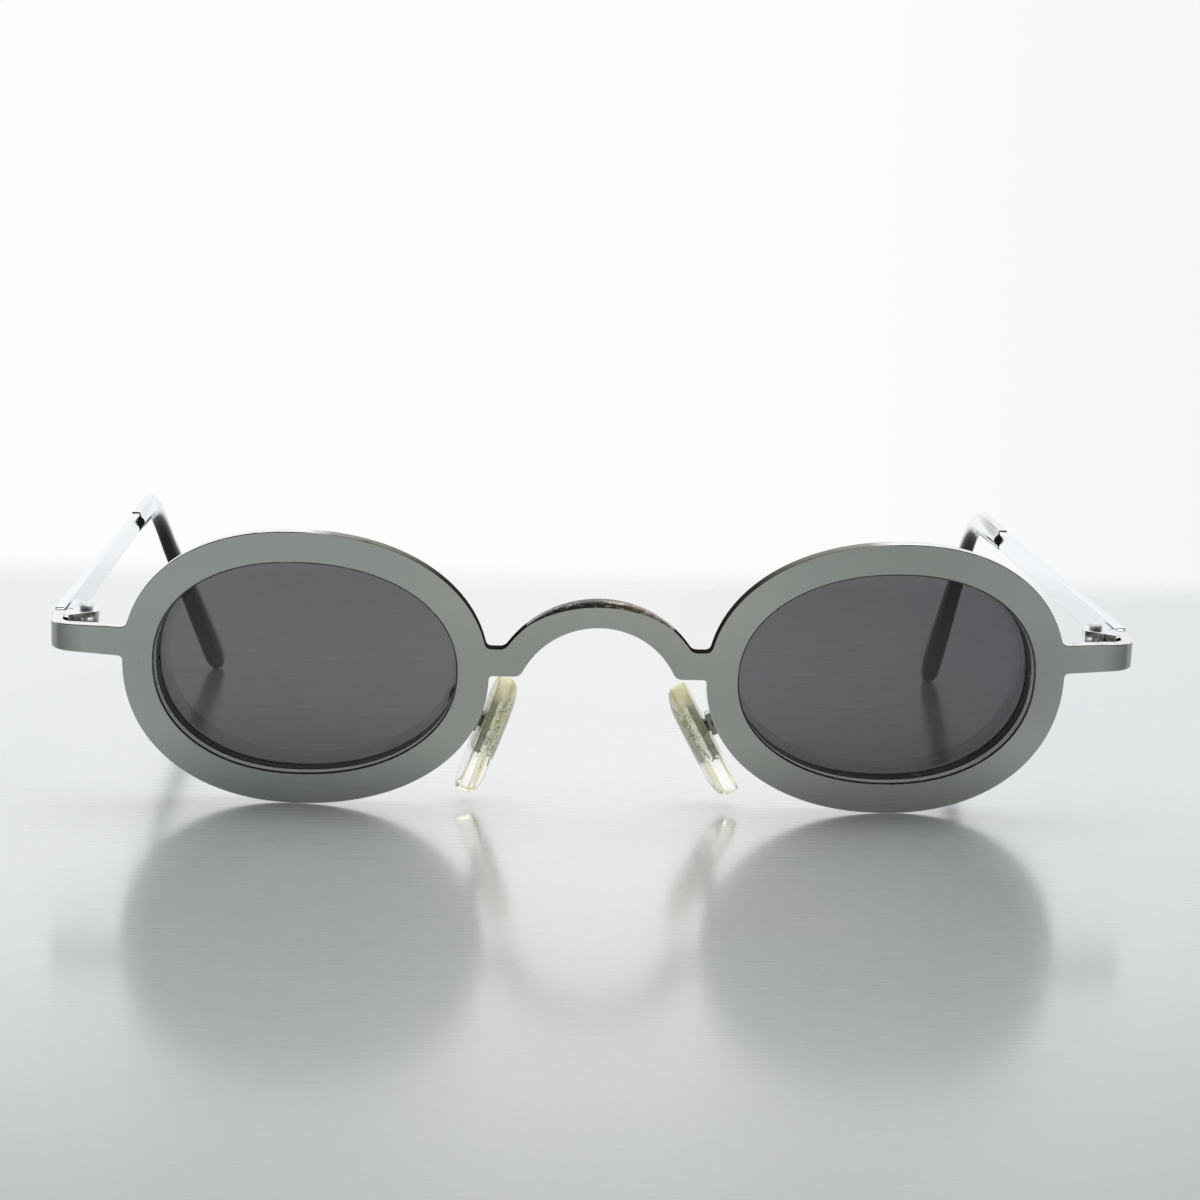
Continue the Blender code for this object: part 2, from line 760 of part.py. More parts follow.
def temple_tip(side, sign, parent, finish):
    """A plastic sleeve over the end of the temple, with a flattened paddle at its end."""
    bend_end = temple_straight + bend_run
    paddle = tip_end[side] - tip_end_round
    lengths = spread(tip_start, temple_straight, 4) + spread(temple_straight, bend_end, 7)[1:]
    lengths += spread(bend_end, paddle, 5)[1:]
    lengths += [paddle + tip_end_round * share for share in (0.35, 0.65, 0.85, 0.97)]
    rings = [section(length, side, *tip_size(length, side), 2.6, 16) for length in lengths]
    outer = loft(rings, "tip")
    bore_lengths = [tip_start - MM] + core_lengths(side)
    bore_lengths[-1] += sleeve_clearance
    bore = []
    for length in bore_lengths:
        thickness, height = core_size(length)
        thickness += 2 * sleeve_clearance
        bore.append(rectangle(length, side, thickness, height + 2 * sleeve_clearance))
    mesh = combined(outer, [loft(bore, "bore")], "DIFFERENCE")
    return add_object(f"{side}_temple_tip", mirrored(mesh, sign), finish, parent)


def pad_place(sign):
    """The pad screw's middle on the front, between the eyewire and the pad."""
    x = rim_gap / 2 + pad_pivot_inset
    return Vector((sign * x, eyewire_back + pad_pivot_depth, -pad_pivot_drop))


def pad_turn(sign, rock=0.0):
    """Up along the pad, back along its screw and outwards from the nose, rocked about the screw."""
    tipped = Euler((-pad_top_back, 0.0, 0.0)).to_matrix()
    lean = Euler((0.0, -sign * pad_lean, 0.0)).to_matrix()
    splay = Euler((0.0, 0.0, -sign * pad_splay)).to_matrix()
    rocked = Euler((0.0, -rock, 0.0)).to_matrix()
    return (tipped @ lean @ splay @ rocked).to_euler()


def pad_ring(inset, depth):
    """A ring of the pad's outline, drawn in by an inset, at a depth from the pivot to the nose."""
    ring = []
    for i in range(28):
        angle = 2 * math.pi * i / 28
        up = signed_power(math.sin(angle), 2 / pad_power) * (pad_length / 2 - inset)
        back = signed_power(math.cos(angle), 2 / pad_power) * (pad_width / 2 - inset)
        back *= 1 - 0.12 * up / (pad_length / 2)
        ring.append(Vector((-depth, back, up - pad_centre_drop)))
    return ring


def insert_cutters(grow):
    """The insert's plate and tongue, grown by a clearance."""
    plate_near = pad_standoff + insert_cover
    half_width = insert_width / 2 + grow
    low = -insert_length / 2 - grow
    high = insert_length / 2 + grow
    plate = block(
        "plate",
        (-plate_near - insert_thickness - grow, -half_width, low),
        (-plate_near + grow, half_width, high),
    )
    tongue = block(
        "tongue",
        (-plate_near - insert_thickness / 2, -tongue_width / 2 - grow, -tongue_height / 2 - grow),
        (tongue_reach, tongue_width / 2 + grow, tongue_height / 2 + grow),
    )
    return plate, tongue


def nose_pad(side, sign, parent, finish):
    """A moulded pad with a flat back, a domed skin side and a slot for its insert."""
    near = pad_standoff
    far = near + pad_thickness
    places = (
        (pad_edge, near),
        (0.0, near + pad_edge),
        (0.0, far - 2 * pad_edge),
        (pad_edge, far - 0.6 * pad_edge),
        (4 * pad_edge, far + 0.4 * pad_dome),
        (8 * pad_edge, far + 0.8 * pad_dome),
        (12 * pad_edge, far + pad_dome),
    )
    outer = loft([pad_ring(*place) for place in places], "pad")
    mesh = combined(outer, list(insert_cutters(insert_clearance)), "DIFFERENCE")
    return add_object(f"{side}_nose_pad", mirrored(mesh, sign), finish, parent)


def pad_insert(side, sign, parent, finish):
    """The metal plate inside the pad, with the drilled tongue that turns on the pad screw."""
    plate, tongue = insert_cutters(0.0)
    mesh = combined(plate, [tongue], "UNION")
    reach = tongue_width
    bore = cylinder("bore", pad_screw_radius + running_clearance, -reach, reach)
    bore.transform(Matrix.Rotation(math.pi / 2, 4, "X"))
    mesh = mirrored(combined(mesh, [bore], "DIFFERENCE"), sign)
    return add_object(f"{side}_pad_insert", mesh, finish, parent)


def box_half_sizes():
    half_width = tongue_width / 2 + box_side_clearance
    half_height = tongue_height / 2 + box_rock_clearance
    return half_width, half_height


def pad_box(side, sign, parent, finish):
    """A small cup, open towards the pad, whose two side walls carry the pad screw."""
    half_width, half_height = box_half_sizes()
    outer = block(
        "box",
        (-box_front, -half_width - box_wall, -half_height - box_wall),
        (box_back, half_width + box_wall, half_height + box_wall),
    )
    inner = block(
        "hollow",
        (-box_front - box_wall, -half_width, -half_height),
        (box_back - box_wall, half_width, half_height),
    )
    reach = half_width + 2 * box_wall
    bore = cylinder("bore", pad_screw_radius + running_clearance, -reach, reach)
    bore.transform(Matrix.Rotation(math.pi / 2, 4, "X"))
    mesh = mirrored(combined(outer, [inner, bore], "DIFFERENCE"), sign)
    return add_object(f"{side}_pad_box", mesh, finish, parent)


def pad_screw(side, parent, finish):
    half_width = box_half_sizes()[0] + box_wall
    length = 2 * half_width + running_clearance + pad_screw_radius
    mesh = slotted_screw(
        "pad_screw", pad_screw_radius, pad_screw_head_radius, pad_screw_head_height, length
    )
    mesh.transform(Matrix.Translation((0.0, 0.0, half_width + running_clearance)))
    mesh.transform(Matrix.Rotation(-math.pi / 2, 4, "X"))
    return add_object(f"{side}_pad_screw", mesh, finish, parent)


def pad_arm(side, sign, parent, finish):
    """A round wire from the back of the eyewire, looped behind it to the back of the box."""
    box_end = Vector((sign * (box_back + braze_gap), 0.0, 0.0))
    box_end.rotate(pad_turn(sign))
    outwards = box_end.normalized()
    end = pad_place(sign) + box_end
    rim_t = -pad_pivot_drop + arm_rise
    rim_s = oval_point(oval_angle(rim_t, math.pi / 2, 3 * math.pi / 2), eyewire_width / 2)[0]
    start = on_front(sign * rim_s, rim_t, eyewire_back + braze_gap)
    back = Vector((0.0, arm_loop, 0.0))
    handles = (start, start + back, end + outwards * arm_loop * 0.8, end)
    points = []
    for share in spread(0.0, 1.0, 13):
        rest = 1 - share
        weights = (rest**3, 3 * rest**2 * share, 3 * rest * share**2, share**3)
        points.append(sum((place * weight for place, weight in zip(handles, weights)), Vector()))
    return add_object(f"{side}_pad_arm", tube("arm", points, arm_radius), finish, parent)


def world_points(objects):
    bpy.context.view_layer.update()
    return [obj.matrix_world @ vert.co for obj in objects for vert in obj.data.vertices]


def rest_on_ground(root, objects):
    """Tips the glasses until ovals and temple tips are level, then puts the origin below."""
    points = world_points(objects)
    middle = sum(point.y for point in points) / len(points)
    angle = 0.0
    for _ in range(12):
        turned_points = [(p.y, p.y * math.sin(angle) + p.z * math.cos(angle), p) for p in points]
        front = min((p for p in turned_points if p[0] < middle), key=lambda p: p[1])[2]
        rear = min((p for p in turned_points if p[0] >= middle), key=lambda p: p[1])[2]
        angle = -math.atan2(rear.z - front.z, rear.y - front.y)
    root.rotation_euler = (angle, 0.0, 0.0)
    points = world_points(objects)
    depths = [point.y for point in points]
    lowest = min(point.z for point in points)
    root.location = (0.0, -(min(depths) + max(depths)) / 2, -lowest)
    bpy.context.view_layer.update()


clear_scene()
parts = new_collection("sunglasses")
cutters = new_collection("cutters")

chrome = material("polished_chrome", (0.62, 0.64, 0.63), 0.12, 1.0)
wire_metal = material("eyewire_metal", (0.55, 0.56, 0.54), 0.2, 1.0)
screw_metal = material("screw_steel", (0.45, 0.45, 0.44), 0.3, 1.0)
insert_metal = material("insert_metal", (0.35, 0.38, 0.33), 0.45, 1.0)
tinted = material("tinted_lens", (0.14, 0.14, 0.145), 0.02, 0.0, 0.75)
black_plastic = material("black_tip", (0.02, 0.02, 0.02), 0.25, 0.0)
clear_plastic = material("clear_pad", (0.8, 0.78, 0.62), 0.15, 0.0, 0.6)

root = empty("sunglasses_root", None, (0.0, 0.0, 0.0))
front = empty("front_tilt", root, (0.0, 0.0, 0.0), (pantoscopic_angle, 0.0, 0.0))

front_plate(front, chrome)
for side, sign in SIDES:
    eyewire(side, sign, front, wire_metal)
    lens(side, sign, front, tinted)
    closing_blocks(side, sign, front, wire_metal, screw_metal)

    hinge = empty(f"{side}_hinge_fixed", root, hinge_place(sign))
    front_hinge_leaf(side, sign, hinge, wire_metal)
    hinge_screw(side, hinge, screw_metal)
    toe_in = (0.0, 0.0, sign * temple_toe_in)
    hinge_axis = empty(f"{side}_hinge_axis", root, hinge_place(sign), toe_in)
    temple_hinge_leaf(side, sign, hinge_axis, wire_metal)
    temple(side, sign, hinge_axis, chrome)
    temple_tip(side, sign, hinge_axis, black_plastic)

    pad_arm(side, sign, front, wire_metal)
    pad_mount = empty(f"{side}_pad_mount", front, pad_place(sign), pad_turn(sign))
    pad_box(side, sign, pad_mount, wire_metal)
    pad_screw(side, pad_mount, screw_metal)
    pad_axis = empty(f"{side}_pad_axis", front, pad_place(sign), pad_turn(sign, pad_rest_rock))
    pad_insert(side, sign, pad_axis, insert_metal)
    nose_pad(side, sign, pad_axis, clear_plastic)

rest_on_ground(root, [obj for obj in parts.objects if obj.type == "MESH"])
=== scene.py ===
"""Looks for small oval metal sunglasses: a flat polished front, tinted lenses, yellowed clear pads.

Metres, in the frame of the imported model: +X to the right of someone who faces the front, +Y towards
the temple tips, +Z up, the ground at z 0.
"""

import json
import math

import bmesh
import bpy
from mathutils import Euler, Matrix, Vector

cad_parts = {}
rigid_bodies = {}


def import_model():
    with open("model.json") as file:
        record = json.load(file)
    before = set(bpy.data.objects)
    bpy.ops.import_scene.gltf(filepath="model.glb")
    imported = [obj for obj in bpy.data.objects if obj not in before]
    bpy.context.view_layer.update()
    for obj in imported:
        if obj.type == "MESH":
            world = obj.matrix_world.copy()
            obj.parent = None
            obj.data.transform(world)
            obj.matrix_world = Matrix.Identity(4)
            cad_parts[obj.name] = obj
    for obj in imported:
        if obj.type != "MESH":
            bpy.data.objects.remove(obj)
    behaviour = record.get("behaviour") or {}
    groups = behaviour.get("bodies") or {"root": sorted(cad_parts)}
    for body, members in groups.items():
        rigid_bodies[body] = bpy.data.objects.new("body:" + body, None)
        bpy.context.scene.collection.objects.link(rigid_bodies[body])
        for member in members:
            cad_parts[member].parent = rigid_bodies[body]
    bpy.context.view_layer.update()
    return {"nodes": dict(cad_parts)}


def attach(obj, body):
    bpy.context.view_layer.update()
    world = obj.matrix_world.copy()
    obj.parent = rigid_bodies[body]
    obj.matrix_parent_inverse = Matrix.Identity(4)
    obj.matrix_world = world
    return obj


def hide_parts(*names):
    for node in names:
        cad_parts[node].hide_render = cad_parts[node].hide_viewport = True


MM = 0.001
SIDES = (("left", -1), ("right", 1))

# The shapes' own sizes, as in the CAD
opening_width = 36.0 * MM
opening_height = 25.8 * MM
oval_power = 2.16
oval_taper = 0.03
oval_tilt = math.radians(-1.5)
rim_width = 3.84 * MM
rim_gap = 25.8 * MM
plate_thickness = 1.4 * MM
bow_radius = 330.0 * MM
pantoscopic_angle = math.radians(5.5)
corner_cut = 0.6 * MM
bar_height = 3.45 * MM
bar_rise = 1.775 * MM
bar_underside_length = 3.7 * MM
arch_rise = 6.2 * MM
arch_strip = 3.3 * MM
arch_foot_cut = 0.8 * MM
end_height = 3.6 * MM
end_leg_height = 3.1 * MM
end_rise = 2.05 * MM
end_bar_length = 6.4 * MM
end_bend_radius = 3.0 * MM
end_leg_length = 3.5 * MM
braze_gap = 0.1 * MM
eyewire_width = 1.7 * MM
eyewire_depth = 3.0 * MM
groove_depth = 0.7 * MM
groove_half_width = 0.5 * MM
groove_share = 0.78
eyewire_split = 0.4 * MM
lens_thickness = 1.5 * MM
lens_bulge = 1.0 * MM
lens_clearance = 0.08 * MM
lens_bevel = 0.5 * MM
lens_bevel_half_width = 0.36 * MM
hinge_inset = 3.8 * MM
butt_gap = 0.35 * MM
hinge_strap_length = 7.5 * MM
temple_thickness = 1.1 * MM
temple_height = 3.5 * MM
temple_end_height = 2.6 * MM
temple_toe_in = math.radians(2.0)
temple_straight = 88.5 * MM
temple_bend_radius = 11.0 * MM
temple_drop_angle = math.radians(65.0)
temple_inward_angle = {"left": math.radians(17.0), "right": math.radians(7.5)}
temple_inward_run = 15.0 * MM
core_height = 1.7 * MM
core_thickness = 1.1 * MM
core_taper = 6.0 * MM
tip_cover = 14.5 * MM
tip_drop_length = 23.7 * MM
tip_mouth_height = 3.7 * MM
tip_mouth_thickness = 2.3 * MM
tip_neck_height = 3.2 * MM
tip_neck_thickness = 1.95 * MM
tip_paddle_height = 5.4 * MM
tip_paddle_thickness = 2.8 * MM
tip_end_round = 3.4 * MM
pad_length = 14.6 * MM
pad_width = 7.6 * MM
pad_thickness = 2.1 * MM
pad_dome = 0.9 * MM
pad_edge = 0.25 * MM
pad_power = 2.5
pad_lean = math.radians(24.7)
pad_splay = math.radians(3.0)
pad_top_back = math.radians(9.0)
pad_rest_rock = math.radians(4.0)
pad_pivot_inset = 1.65 * MM
pad_pivot_drop = 7.1 * MM
pad_pivot_depth = 2.3 * MM
pad_standoff = 1.1 * MM
pad_centre_drop = 1.35 * MM

# How the glasses stand: tipped back until the ovals and the temple tips are on the ground
root_angle = math.radians(4.081657)
root_place = Vector((0.0, -60.903, 16.215)) * MM

# The front sheet's finishes, in the order of its material slots; of these, BRIGHT is a painted highlight
# and INSIDE a painted shade
FACE, BRIGHT, CROWN, WALL, INSIDE = range(5)

# Edges and fine forms of the visible pieces. edge_steps: a rounded edge's turn and its shading's
opening_edge = 0.2 * MM
outline_edge = 0.13 * MM
edge_steps = ((0, 0), (25, 24), (48, 42), (68, 56), (90, 90))
crown_cut = 0.76 * MM
crown_half_width = 8.6 * MM
crown_depth = 0.5 * MM
crown_clearance = 1.0 * MM
crown_fall = 1.2
crown_start = 30.0
# At the same steps, the crown's turn as a share of 90 degrees, and its shading's
crown_steps = (0.0, 0.06, 0.45, 0.8, 1.0)
crown_turns = (0.0, 2.0, 14.0, 38.0, 60.0)
# A groove in the opening's wall: depth and inset in millimetres, and its shading's turn
wall_groove = ((0.62, 0.0, 0), (0.64, 0.04, 60), (0.68, 0.08, 0), (0.75, 0.04, -60), (0.79, 0.0, 0))
leg_end_round = 0.3 * MM
wire_edge = 0.08 * MM
strip_edge = 0.16 * MM
strip_end_edge = 0.05 * MM
slot_depth = 3.0 * MM
slot_power = 8.0
sleeve_power = 2.6
mouth_length = 13.0 * MM
mouth_gap = 0.03 * MM
mouth_wall = 0.07 * MM
mouth_swelling = 0.6 * MM
swelling_share = 0.55
mouth_edge = 0.05 * MM
tip_end_turns = (12, 24, 36, 48, 58, 67, 75, 82, 87)
tip_end_thickness = 0.35
pad_taper = 0.12
dome_start = 0.5 * MM
dome_end = 3.2 * MM
dome_reach = 3.4 * MM
small_bevel = 0.06 * MM
screw_bevel = 0.04 * MM
head_bevel = 0.1 * MM
smooth_below = math.radians(35)
bevel_above = math.radians(40)

# The photograph's camera: its place, its turns and its focal length in pixels of the photograph
camera_place = Vector((-19.618, -455.959, 71.085)) * MM
camera_pitch = math.radians(6.553)
camera_roll = math.radians(1.487)
camera_yaw = math.radians(2.84)
focal_length = 3386.542
photo_width = 1200
sensor_width = 36.0

# The studio: greys of the table from near to far, with painted light that brightens it from the front back
# to the glasses, and of the room that it stands in
floor_near, floor_far = -0.25, 0.20
floor_tones = (
    (0.0, (0.305, 0.318, 0.314)),
    (0.08, (0.335, 0.348, 0.344)),
    (0.15, (0.385, 0.398, 0.393)),
    (0.25, (0.452, 0.465, 0.458)),
    (0.335, (0.478, 0.490, 0.482)),
    (0.476, (0.545, 0.555, 0.55)),
    (1.0, (0.46, 0.47, 0.47)),
)
floor_gloss = ((0.05, 0.42), (0.15, 0.62), (0.25, 0.86), (0.335, 1.0))
# Where the table is gone: axis, start, end, both sides alike
floor_fades = (("Y", 0.165, 0.235), ("Y", -0.225, -0.33), ("X", 0.14, 0.26, True))
table_reach, table_back = 1.2, 0.25
lamp_place = (0.1, 0.25, 0.9)
lamp_size, lamp_power = 0.9, 6.0
room_overhead = (0.55, 0.56, 0.57)
room_dark = (0.03, 0.032, 0.035)
room_light = (0.80, 0.81, 0.82)

# How a finish is shaded over the object, with painted shade and light: axis, start, end, both sides alike
# or not, and shades
# The lenses: painted shade of what is seen through them, darker towards the bottom and on the right
lens_to_top = ((0.0, (0.72, 0.71, 0.70)), (0.25, (0.86, 0.86, 0.85)), (0.55, 0.93), (1.0, 1.0))
lens_to_right = ((0.0, 1.0), (0.45, (0.94, 0.94, 0.93)), (0.75, 0.92), (1.0, (0.80, 0.81, 0.83)))
lens_shading = (("Z", 0.004, 0.030, False, lens_to_top), ("X", -0.010, 0.048, False, lens_to_right))
# The face: painted shade across its middle height and on the end pieces' bends and legs, painted light to
# the right and towards its outer ends
face_to_right = (
    (0.0, 1.0), (0.5, (1.01, 0.985, 0.99)), (0.85, (1.03, 1.0, 1.01)), (1.0, (1.08, 1.06, 1.07)),
)
face_painted_shade = (
    ("Z", 0.004, 0.030, False, ((0.0, 1.0), (0.18, 0.97), (0.34, 0.86), (0.55, 0.86), (0.80, 0.98))),
    ("X", 0.020, 0.060, False, face_to_right),
    ("X", 0.008, 0.060, True, ((0.0, 0.965), (0.15, 1.0), (0.62, 1.0), (1.0, 1.06))),
    ("X", 0.0610, 0.0645, True, ((0.0, 1.0), (1.0, 0.5))),
)
# The table: painted shade, bluish on both sides away from the middle and darker again on the right
floor_shading = (
    ("X", 0.020, 0.065, False, ((0.0, 1.0), (1.0, 0.86))),
    ("X", 0.020, 0.044, True, ((0.0, 1.0), (1.0, (0.905, 0.938, 0.938)))),
)

# How finely round shapes are cut
oval_steps = 200
bow_step = 1.6 * MM
bend_steps = 14
arch_steps_out, arch_steps_in = 40, 30

oval_centre = rim_gap / 2 + rim_width + opening_width / 2
oval_end = oval_centre + opening_width / 2 + rim_width
bend_start = oval_end + end_bar_length
bend_start_angle = bend_start / bow_radius
bend_length = end_bend_radius * (math.pi / 2 - bend_start_angle)
sheet_end = bend_start + bend_length + end_leg_length
bar_top = bar_rise + bar_height / 2
bar_bottom = bar_rise - bar_height / 2
end_top = end_rise + end_height / 2
end_bottom = end_rise - end_height / 2
leg_top = end_rise + end_leg_height / 2
leg_bottom = end_rise - end_leg_height / 2
arch_half_chord = rim_gap / 2 - bar_underside_length
arch_inner = (arch_half_chord**2 + arch_rise**2) / (2 * arch_rise)
arch_outer = arch_inner + arch_strip
arch_centre = bar_bottom + arch_rise - arch_inner
eyewire_front = plate_thickness + braze_gap
eyewire_back = eyewire_front + eyewire_depth
groove_middle = eyewire_front + groove_share * eyewire_depth
temple_offset = hinge_inset - temple_thickness / 2
tip_start = temple_straight - tip_cover
bend_run = temple_bend_radius * temple_drop_angle
tip_end = {
    side: temple_straight + bend_run + tip_drop_length / math.cos(angle)
    for side, angle in temple_inward_angle.items()
}


# ---------------- shapes


def spread(start, end, count):
    return [start + (end - start) * i / (count - 1) for i in range(count)]


def eased(share):
    """A share from 0 to 1 that starts and stops gently."""
    return share * share * (3 - 2 * share)


def signed_power(value, power):
    return math.copysign(abs(value) ** power, value)


def new_object(name, data):
    obj = bpy.data.objects.new(name, data)
    bpy.context.scene.collection.objects.link(obj)
    return obj


def finished_mesh(bm, name):
    bmesh.ops.recalc_face_normals(bm, faces=bm.faces)
    if bm.calc_volume(signed=True) < 0:
        bmesh.ops.reverse_faces(bm, faces=bm.faces)
    mesh = bpy.data.meshes.new(name)
    bm.to_mesh(mesh)
    bm.free()
    return mesh


def loft(rings, name):
    """A closed mesh through rings of equally many points, capped at its ends."""
    bm = bmesh.new()
    rows = [[bm.verts.new(point) for point in ring] for ring in rings]
    for row, following in zip(rows, rows[1:]):
        for i in range(len(row)):
            j = (i + 1) % len(row)
            bm.faces.new((row[i], row[j], following[j], following[i]))
    bm.faces.new(rows[0])
    bm.faces.new(rows[-1])
    return finished_mesh(bm, name)


def mirrored(mesh, sign):
    if sign < 0:
        mesh.transform(Matrix.Scale(-1, 4, (1.0, 0.0, 0.0)))
        mesh.flip_normals()
    return mesh


def on_front(s, t, depth):
    """The place, before the front tilts, of a point s along the sheet, t up it and depth behind."""
    side = math.copysign(1.0, s)
    s = abs(s)
    bow = min(s, bend_start)
    angle = bow / bow_radius
    x = bow_radius * math.sin(angle)
    y = bow_radius * (1 - math.cos(angle))
    if s > bend_start:
        turned_by = min(s - bend_start, bend_length) / end_bend_radius
        x += end_bend_radius * (math.sin(angle + turned_by) - math.sin(angle))
        y += end_bend_radius * (math.cos(angle) - math.cos(angle + turned_by))
        angle += turned_by
        y += max(s - bend_start - bend_length, 0.0)
    return Vector((side * (x - depth * math.sin(angle)), y + depth * math.cos(angle), t))


def front_angle(s):
    """How far the sheet has turned at a point s along it."""
    turned_by = min(max(abs(s) - bend_start, 0.0), bend_length) / end_bend_radius
    return min(abs(s), bend_start) / bow_radius + turned_by


def oval_point(angle, grow=0.0):
    half_width = opening_width / 2 + grow
    half_height = opening_height / 2 + grow
    across = signed_power(math.cos(angle), 2 / oval_power)
    up = signed_power(math.sin(angle), 2 / oval_power)
    x = half_width * across
    y = half_height * up * (1 + oval_taper * across)
    s = oval_centre + x * math.cos(oval_tilt) - y * math.sin(oval_tilt)
    return s, x * math.sin(oval_tilt) + y * math.cos(oval_tilt)


def rim_point(angle):
    return oval_point(angle, rim_width)


def oval_angle(t, low, high):
    """Where the rim's outside is at the height t, between two angles."""
    rising = rim_point(high)[1] > rim_point(low)[1]
    for _ in range(50):
        middle = (low + high) / 2
        if (rim_point(middle)[1] < t) == rising:
            low = middle
        else:
            high = middle
    return (low + high) / 2


def oval_turn(angle, length):
    """The angle that a length along the rim's outside takes up."""
    step = 1e-4
    return length * step / (Vector(rim_point(angle + step)) - Vector(rim_point(angle))).length


def arch_point(radius, angle):
    return radius * math.cos(angle), arch_centre + radius * math.sin(angle)


def corner(before, point, after, steps=6):
    """Points along a curve from before to after that rounds off the point between them."""
    before, point, after = Vector(before), Vector(point), Vector(after)
    rounded = []
    for share in spread(0.0, 1.0, steps):
        rest = 1 - share
        place = before * rest**2 + point * 2 * rest * share + after * share**2
        rounded.append((place.x, place.y))
    return rounded


def rim_arc(start, end):
    count = max(3, round(oval_steps * (start - end) / (2 * math.pi)))
    return [rim_point(angle) for angle in spread(start, end, count)]


def plate_outline():
    """The front's outline, from the crown of the arch round the right half, then mirrored."""
    outer_foot = math.asin((bar_top - arch_centre) / arch_outer)
    inner_foot = math.asin((bar_bottom - arch_centre) / arch_inner)
    cut = corner_cut
    foot = arch_foot_cut
    nasal_top = oval_angle(bar_top, math.pi / 2, 3 * math.pi / 2)
    nasal_bottom = oval_angle(bar_bottom, math.pi / 2, 3 * math.pi / 2)
    temple_top = oval_angle(end_top, -math.pi / 2, math.pi / 2)
    temple_bottom = oval_angle(end_bottom, -math.pi / 2, math.pi / 2)

    arch_out = spread(math.pi / 2, outer_foot + cut / arch_outer, arch_steps_out)
    half = [arch_point(arch_outer, angle) for angle in arch_out[:-1]]
    point = arch_point(arch_outer, outer_foot)
    half += corner(arch_point(arch_outer, arch_out[-1]), point, (point[0] + cut, bar_top))

    start = nasal_top - oval_turn(nasal_top, cut)
    end = temple_top + oval_turn(temple_top, cut)
    point = rim_point(nasal_top)
    half += corner((point[0] - cut, bar_top), point, rim_point(start))
    half += rim_arc(start, end)[1:-1]
    point = rim_point(temple_top)
    half += corner(rim_point(end), point, (point[0] + cut, end_top))

    inset = sheet_end - leg_end_round
    half += corner((inset, leg_top), (sheet_end, leg_top), (sheet_end, leg_top - leg_end_round))
    half += corner((sheet_end, leg_bottom + leg_end_round), (sheet_end, leg_bottom), (inset, leg_bottom))

    start = temple_bottom - oval_turn(temple_bottom, cut)
    end = nasal_bottom - 2 * math.pi + oval_turn(nasal_bottom, cut)
    point = rim_point(temple_bottom)
    half += corner((point[0] + cut, end_bottom), point, rim_point(start))
    half += rim_arc(start, end)[1:-1]
    point = rim_point(nasal_bottom)
    half += corner(rim_point(end), point, (point[0] - cut, bar_bottom))

    arch_in = spread(inner_foot + foot / arch_inner, math.pi / 2, arch_steps_in)
    point = arch_point(arch_inner, inner_foot)
    half += corner((point[0] + foot, bar_bottom), point, arch_point(arch_inner, arch_in[0]))
    half += [arch_point(arch_inner, angle) for angle in arch_in[1:]]
    return half + [(-s, t) for s, t in reversed(half[1:-1])]


def outward_normals(outline):
    """At each point, the mitred direction away from the sheet, on the left of the way round."""
    edges = []
    for i in range(len(outline)):
        onward = Vector(outline[(i + 1) % len(outline)]) - Vector(outline[i])
        edges.append(Vector((-onward.y, onward.x)).normalized())
    return [(before + after) / (1 + before.dot(after)) for before, after in zip(edges[-1:] + edges, edges)]


def crown_share(s, t):
    """1 at the crown of the arch's upper edge, falling to 0 down its sides."""
    if abs(s) > crown_half_width or t < bar_top + crown_clearance:
        return 0.0
    if math.hypot(s, t - arch_centre) < arch_outer - MM:
        return 0.0
    share = 1 - (s / crown_half_width) ** 2
    return share**crown_fall


def front_row(step, edge, share):
    """A point of a front edge: how far in and back, and how far it faces outwards and forwards."""
    angle, lean = (math.radians(turn) for turn in edge_steps[step])
    ground = math.radians(90 * crown_steps[step])
    inward = edge * (1 - math.sin(angle)) * (1 - share) + crown_cut * (1 - math.sin(ground)) * share
    depth = edge * (1 - math.cos(angle)) * (1 - share) + crown_depth * (1 - math.cos(ground)) * share
    ground = math.radians(crown_start + crown_turns[step]) if step else 0.0
    turn = lean * (1 - share) + ground * share
    return inward, depth, math.sin(turn), math.cos(turn)


def groove_row(depth, inward, turn):
    turn = math.radians(turn)
    return inward * MM, depth * MM, math.cos(turn), -math.sin(turn)


def back_row(step, edge):
    angle = math.radians(edge_steps[step][0])
    inward = edge * (1 - math.sin(angle))
    depth = plate_thickness - edge * (1 - math.cos(angle))
    return inward, depth, math.sin(angle), -math.cos(angle)


def add_edge(bm, facing, outline, outside):
    """The faces along one outline, from front to back, and their first and last edges."""
    count = len(outline)
    steps = range(len(edge_steps))
    edge = outline_edge if outside else opening_edge
    normals = outward_normals(outline)
    shares = [crown_share(s, t) for s, t in outline]
    places = [[front_row(step, edge, share) for share in shares] for step in steps]
    if not outside:
        places += [[groove_row(*place)] * count for place in wall_groove]
    places += [[back_row(step, edge)] * count for step in reversed(steps)]
    rows = []
    for row_places in places:
        row = []
        for point, outward, (inward, depth, lift, ahead) in zip(outline, normals, row_places):
            place = Vector(point) - outward * inward
            vert = bm.verts.new((place.x, place.y, depth))
            out = outward.normalized() * lift
            vert[facing] = Vector((out.x, out.y, -ahead)).normalized()
            row.append(vert)
        rows.append(row)
    for step, (row, following) in enumerate(zip(rows, rows[1:])):
        for i in range(count):
            j = (i + 1) % count
            face = bm.faces.new((row[i], row[j], following[j], following[i]))
            if outside:
                worn = WALL if normals[i].y > 0.0 else FACE
                face.material_index = CROWN if shares[i] > 0.0 else worn
            else:
                # The openings' rounded front edges get a painted shade, their walls a painted highlight
                face.material_index = INSIDE if step < steps[-1] else BRIGHT
    ends = (rows[0], rows[-1])
    return [[bm.edges.get((row[i], row[(i + 1) % count])) for i in range(count)] for row in ends]


